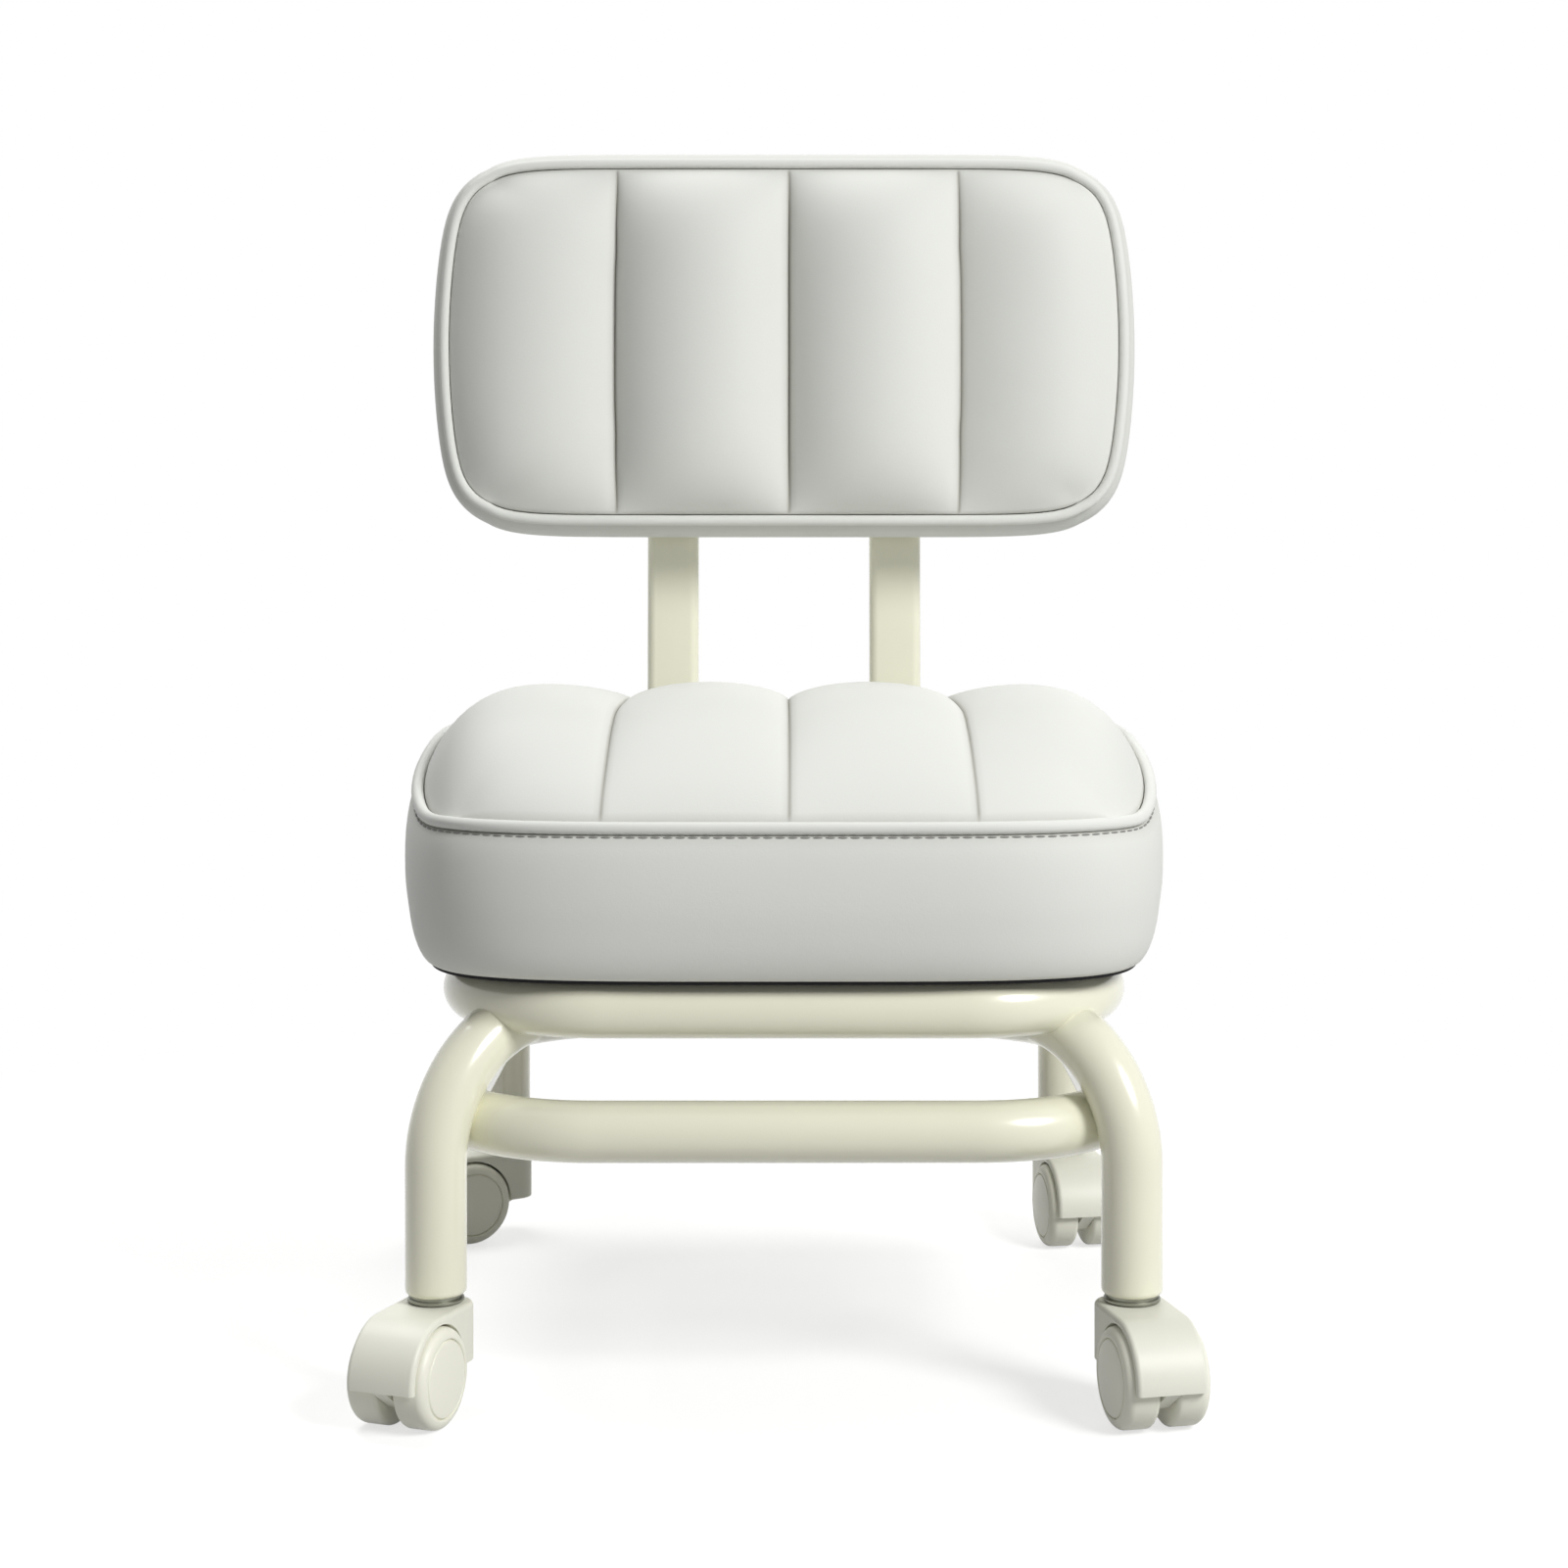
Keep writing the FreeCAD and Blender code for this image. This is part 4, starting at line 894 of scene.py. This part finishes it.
def keep_result(piece):
    """Makes the result of a piece's modifiers its plain mesh."""
    evaluated = piece.evaluated_get(bpy.context.evaluated_depsgraph_get())
    mesh = bpy.data.meshes.new_from_object(evaluated)
    piece.modifiers.clear()
    piece.data = mesh
    mesh.name = piece.name


def smooth_skin(skin):
    """Applies one round of subdivision."""
    skin.vertex_groups.clear()
    finer = skin.modifiers.new("smooth", "SUBSURF")
    finer.levels = finer.render_levels = 1
    keep_result(skin)
    skin.data.shade_smooth()


def upholster(name, form, material, node):
    skin = cushion_skin(name, form, material)
    print(name, "swelled by up to", round(fill(skin) / MM, 1), "mm before the cap")
    smooth_skin(skin)
    return settle(skin, node)


# %% [markdown]
# ## Seat
# The seat is crowned. Its piped seam is level at the rear, then falls in a long arc to a lower front
# edge, so that nothing presses under the legs. It narrows a little towards the rear. The channels are
# sewn from front to back, a hair right of the middle. A black dust cover closes the underside. Its black
# also stands in for the shade in the gap, and shows as a thin dark line above the ring.

# %% Seat
SEAT_FRONT_SEAM = 62.7
SEAT_FALL = 25.8
SEAT_FALL_START = 33.0
SEAT_FALL_RADIUS = 379.0
SEAT_FALL_BLEND = 60.0
SEAT_FALL_FOOT = SEAT_FALL_START - math.sqrt(
    2 * SEAT_FALL * (SEAT_FALL_RADIUS + SEAT_FALL_BLEND) - SEAT_FALL ** 2)


def seat_seam_height(y):
    """Side view of the seat's piped seam: two arcs between a level front and a level rear."""
    if y >= SEAT_FALL_START:
        return SEAT_FRONT_SEAM + SEAT_FALL
    if y <= SEAT_FALL_FOOT:
        return SEAT_FRONT_SEAM
    blend_share = SEAT_FALL_BLEND / (SEAT_FALL_RADIUS + SEAT_FALL_BLEND)
    if y < SEAT_FALL_FOOT + (SEAT_FALL_START - SEAT_FALL_FOOT) * blend_share:
        lower_arc = SEAT_FALL_BLEND - math.sqrt(SEAT_FALL_BLEND ** 2 - (y - SEAT_FALL_FOOT) ** 2)
        return SEAT_FRONT_SEAM + lower_arc
    upper_arc = SEAT_FALL_RADIUS - math.sqrt(SEAT_FALL_RADIUS ** 2 - (y - SEAT_FALL_START) ** 2)
    return SEAT_FRONT_SEAM + SEAT_FALL - upper_arc


board_low, board_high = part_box("seat_board")
board_middle = (board_low + board_high) / 2
seat_place = Matrix.Translation((board_middle.x, board_middle.y, board_low.z)) @ Matrix.Scale(MM, 4)
seat_form = Cushion(
    place=seat_place, half_x=164.6, half_y=150.5, squareness=(4.4, 5.4), side_bow=0.0, rear_taper=0.038,
    seams=(-74.4, 2.2, 79.4), seam_bow=0.0, seam_height=seat_seam_height, piping_inset=5.4, crest=112.0,
    side_power=12.0, end_power=2.5, end_fullness=0.8, channel_depth=9.0, channel_power=0.6, outer_start=0.25,
    band=((1.7, 0.88), (0.3, 0.76), (0.0, 0.60), (0.3, 0.46), (1.3, 0.36), (2.3, 0.245), (3.8, 0.15),
          (5.8, 0.075), (8.2, 0.02)),
    lining=1, under=((10.2, 0.5), (10.7, 0.2), (10.7, -1.0), (12.0, -1.4), (33.0, -0.4), (70.0, -0.4)))
seat_cushion = upholster("seat_upholstery", seat_form, seat_leather, "seat_cushion")
print("seat faces", len(seat_cushion.data.polygons))

# %% [markdown]
# ## Backrest
# The backrest is a smaller pad of the same kind, standing on its posts and leaning with them. Its sides
# bow out a little between tight corners, and its channels are deeper and rounder than the seat's.

# %% Backrest
BACK_LEAN = math.radians(3.0)
COVER_THICK = 2.5
cover_low, cover_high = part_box("back_cover")
back_turn = Matrix.Rotation(math.pi / 2 - BACK_LEAN, 4, "X")
back_forward = back_turn @ Vector((0, 0, 1))
back_origin = (cover_low + cover_high) / 2 - back_forward * (COVER_THICK / 2 * MM)
back_place = Matrix.Translation(back_origin) @ back_turn @ Matrix.Scale(MM, 4)
back_form = Cushion(
    place=back_place, half_x=176.3, half_y=96.4, squareness=(9.5, 9.0), side_bow=0.06, rear_taper=0.0,
    seams=(-84.0, 2.5, 88.0), seam_bow=-0.02, seam_height=lambda y: 40.0, piping_inset=7.6, crest=63.5,
    side_power=7.0, end_power=5.2, end_fullness=1.0, channel_depth=21.0, channel_power=0.75, outer_start=0.5,
    band=((1.4, 0.78), (0.2, 0.60), (0.4, 0.42), (2.0, 0.25), (5.5, 0.13)),
    lining=3, under=((11.0, 2.6), (18.0, 2.6), (24.0, 3.2)))
back_cushion = upholster("back_upholstery", back_form, back_leather, "back_cushion")
print("back faces", len(back_cushion.data.polygons))

# %% [markdown]
# ## Piping
# A cord in a sleeve of the same leather covers each top seam. It lies in the groove between panel and
# band, and follows the seam all the way round, so it is swept along the same loop as the cushion's skin.

# %% Piping
PIPING_SIDES = 18


def piping_cord(name, form, node):
    spots = form.loop(form.piping_inset)
    outwards = [form.outward(form.panel_spot(u, v), v) for u, v in form.rim()]
    turn = form.place.to_3x3().normalized()
    cord = sweep(name, [form.place @ spot for spot in spots], [turn @ outward for outward in outwards],
                 [PIPING_RADIUS * MM] * len(spots), piping_leather, True, PIPING_SIDES)
    return settle(cord, node)


piping_cord("seat_piping_cord", seat_form, "seat_piping")
piping_cord("back_piping_cord", back_form, "back_piping")
print("piping", PIPING_RADIUS * 2, "mm thick")

# %% [markdown]
# ## Stitches and staples
# A row of grey stitches holds the piping to the band, and staples hold the black dust cover under the
# seat board. Both repeat along a path, so one Geometry Nodes tree makes them: it walks the path at a
# fixed spacing and sets a small rounded dash at every step. The path is laid on the finished skin first.

# %% Stitches and staples
def dash_tree():
    tree, take, give = new_group("dashes_along_a_path", "GeometryNodeTree", {
        "Path": "Geometry", "Spacing": 5.0 * MM, "Length": 3.5 * MM, "Thickness": 0.6 * MM,
        "Material": "Material"}, {"Dashes": "Geometry"})
    wanted = take.outputs
    curve = add_node(tree, "GeometryNodeMeshToCurve", {"Mesh": wanted["Path"]})
    spots = add_node(tree, "GeometryNodeCurveToPoints", {
        "Curve": curve, "Length": wanted["Spacing"]}, mode="LENGTH").outputs
    dash = add_node(tree, "GeometryNodeMeshUVSphere", {"Segments": 8, "Rings": 6, "Radius": 0.5})
    shape = add_node(tree, "ShaderNodeCombineXYZ", {
        "X": wanted["Thickness"], "Y": wanted["Thickness"], "Z": wanted["Length"]})
    copies = add_node(tree, "GeometryNodeInstanceOnPoints", {
        "Points": spots["Points"], "Rotation": spots["Rotation"], "Instance": dash, "Scale": shape})
    solid = add_node(tree, "GeometryNodeRealizeInstances", {"Geometry": copies})
    smooth = add_node(tree, "GeometryNodeSetShadeSmooth", {"Geometry": solid})
    paint = add_node(tree, "GeometryNodeSetMaterial", {"Geometry": smooth, "Material": wanted["Material"]})
    feed(tree, give, {"Dashes": paint})
    return tree


def run_tree(piece, tree, values):
    """Runs a Geometry Nodes tree on a piece and keeps the result."""
    modifier = piece.modifiers.new(tree.name, "NODES")
    modifier.node_group = tree
    sockets = {item.name: item.identifier for item in tree.interface.items_tree if item.in_out == "INPUT"}
    for label, value in values.items():
        modifier[sockets[label]] = value
    keep_result(piece)


def path_on_skin(name, skin, spots, lift):
    """A closed path of points laid on a skin and lifted off it."""
    surface = BVHTree.FromPolygons([vertex.co for vertex in skin.data.vertices],
                                   [polygon.vertices for polygon in skin.data.polygons])
    laid = []
    for spot in spots:
        nearest, normal, _, _ = surface.find_nearest(spot)
        laid.append(nearest + normal * lift)
    mesh = bpy.data.meshes.new(name)
    mesh.from_pydata(laid, [(index, (index + 1) % len(laid)) for index in range(len(laid))], [])
    return put(name, mesh)


def dash_row(name, skin, form, loop, lift, dashes):
    """Lays a loop of a cushion's form on its skin and sets dashes along it."""
    path = path_on_skin(name, skin, [form.place @ spot for spot in loop], lift)
    run_tree(path, DASHES, dashes)
    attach(path, "frame")
    print(name, len(path.data.polygons), "faces")


DASHES = dash_tree()
STITCH = {"Spacing": 5.0 * MM, "Length": 4.0 * MM, "Thickness": 0.85 * MM, "Material": thread}
STAPLE = {"Spacing": 26.0 * MM, "Length": 12.0 * MM, "Thickness": 0.9 * MM, "Material": zinc_steel}
STITCH_LIFT = 0.15 * MM
STAPLE_LIFT = 0.2 * MM
STAPLE_INSET = 20.0
stitched_inset, stitched_drop = GROOVE[-1]
for name, skin, form, slot in (("seat_stitches", seat_cushion, seat_form, "seat_leather"),
                               ("back_stitches", back_cushion, back_form, "back_leather")):
    row = form.loop(form.piping_inset + stitched_inset, stitched_drop)
    dash_row(name, skin, form, row, STITCH_LIFT, STITCH)
staple_row = seat_form.loop(STAPLE_INSET, level=seat_form.under[-1][1])
dash_row("seat_staples", seat_cushion, seat_form, staple_row, STAPLE_LIFT, STAPLE)

# %% [markdown]
# ## Screws
# Button-head screws hold the board to the straps and the backrest to its posts. They repeat, so a second
# tree makes them: a flattened ball with a hexagon socket cut into it, on a shank, set on every point of a
# small mesh and turned the way that the point's own arrow shows.

# %% Screws
HEAD_RADIUS = 6.0 * MM
HEAD_HEIGHT = 3.5 * MM
SOCKET_RADIUS = 4.4 * MM
SOCKET_DEPTH = 2.2 * MM
SHANK_RADIUS = 3.0 * MM


def screw_tree():
    tree, take, give = new_group("button_head_screws", "GeometryNodeTree", {
        "Points": "Geometry", "Head Diameter": 2 * HEAD_RADIUS, "Head Height": HEAD_HEIGHT,
        "Socket Radius": SOCKET_RADIUS, "Socket Depth": SOCKET_DEPTH, "Grip": 12.0 * MM,
        "Material": "Material"}, {"Screws": "Geometry"})
    wanted = take.outputs
    double = add_node(tree, "ShaderNodeMath", {0: wanted["Head Height"], 1: 2.0}, operation="MULTIPLY")
    half = add_node(tree, "ShaderNodeMath", {0: wanted["Grip"], 1: -0.5}, operation="MULTIPLY")
    ball = add_node(tree, "GeometryNodeMeshUVSphere", {"Segments": 32, "Rings": 24, "Radius": 0.5})
    ball_size = add_node(tree, "ShaderNodeCombineXYZ", {
        "X": wanted["Head Diameter"], "Y": wanted["Head Diameter"], "Z": double})
    head = add_node(tree, "GeometryNodeTransform", {"Geometry": ball, "Scale": ball_size})
    socket = add_node(tree, "GeometryNodeMeshCylinder", {
        "Vertices": 6, "Radius": wanted["Socket Radius"], "Depth": wanted["Socket Depth"]})
    shank = add_node(tree, "GeometryNodeMeshCylinder", {
        "Vertices": 20, "Radius": SHANK_RADIUS, "Depth": wanted["Grip"]})
    moved = []
    for bar, height in ((socket, wanted["Head Height"]), (shank, half)):
        place = add_node(tree, "ShaderNodeCombineXYZ", {"Z": height})
        moved.append(add_node(tree, "GeometryNodeTransform", {"Geometry": bar, "Translation": place}))
    cutter = add_node(tree, "GeometryNodeMeshBoolean", {
        "Mesh 1": head, "Mesh 2": moved[0]}, operation="DIFFERENCE")
    whole = add_node(tree, "GeometryNodeJoinGeometry", {"Geometry": [cutter, moved[1]]})
    facing = add_node(tree, "GeometryNodeInputNamedAttribute", {"Name": "facing"}, data_type="FLOAT_VECTOR")
    turn = add_node(tree, "FunctionNodeAlignRotationToVector", {"Vector": facing}, axis="Z")
    copies = add_node(tree, "GeometryNodeInstanceOnPoints", {
        "Points": wanted["Points"], "Instance": whole, "Rotation": turn})
    solid = add_node(tree, "GeometryNodeRealizeInstances", {"Geometry": copies})
    paint = add_node(tree, "GeometryNodeSetMaterial", {"Geometry": solid, "Material": wanted["Material"]})
    feed(tree, give, {"Screws": paint})
    return tree


def set_screws(name, spots, facing, grip, node):
    mesh = bpy.data.meshes.new(name)
    mesh.from_pydata(spots, [], [])
    arrows = mesh.attributes.new("facing", "FLOAT_VECTOR", "POINT")
    for arrow in arrows.data:
        arrow.vector = facing
    screws = put(name, mesh)
    run_tree(screws, SCREWS, {"Grip": grip, "Material": zinc_steel})
    shade_smoothly(screws.data)
    settle(screws, node)
    print(name, len(screws.data.polygons), "faces")


SCREWS = screw_tree()
PLYWOOD_THICK = 9.0
POST_SPACING = 56.5
POST_DEPTH = 13.0
BACK_SCREW_LEVELS = (-40.0, 30.0)
screws_low, screws_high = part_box("seat_screws")
seat_screw_x = screws_high.x - HEAD_RADIUS
seat_screw_y = screws_high.y - HEAD_RADIUS
seat_grip = screws_high.z - screws_low.z - HEAD_HEIGHT
set_screws("seat_screw_set", [(seat_screw_x * x_side, seat_screw_y * y_side, screws_low.z + HEAD_HEIGHT)
                              for x_side, y_side in CORNERS.values()], -UP, seat_grip, "seat_screws")
back_grip = (POST_DEPTH + COVER_THICK + PLYWOOD_THICK) * MM
set_screws("back_screw_set", [back_place @ Vector((POST_SPACING * side, level, -POST_DEPTH))
                              for side in (-1, 1) for level in BACK_SCREW_LEVELS],
           -back_forward, back_grip, "back_screws")

# %% [markdown]
# ## Rear panel and seat board
# The back of the backrest is closed by a flat panel in the same leather, drawn over a thin board, so its
# edge is soft. The seat board has the seat's own outline too. Both are plates: a few loops of a cushion's
# outline, one above the other, closed by a flat face at each end.

# %% Rear panel and seat board
REAR_PANEL_LOOPS = ((15.6, 2.6), (15.0, 1.9), (15.1, 1.1), (15.9, 0.45), (17.6, 0.1), (20.5, 0.0))
SEAT_BOARD_LOOPS = ((22.6, 0.0), (22.0, 0.5), (22.0, PLYWOOD_THICK - 0.5), (22.6, PLYWOOD_THICK))


def plate(name, form, loops, material, node):
    """Loops of a cushion's outline as (inset, height), closed by flat faces."""
    rings = [form.loop(inset, level=level) for inset, level in loops]
    points = [form.place @ spot for ring in rings for spot in ring]
    piece = new_piece(name, points, wall_faces(len(rings), len(rings[0]), False), material)
    face_outwards(piece)
    return settle(piece, node)


rear_panel = plate("rear_panel", back_form, REAR_PANEL_LOOPS, panel_leather, "back_cover")
seat_plate = plate("seat_plywood", seat_form, SEAT_BOARD_LOOPS, plywood, "seat_board")
print("plates", len(rear_panel.data.polygons), len(seat_plate.data.polygons), "faces")
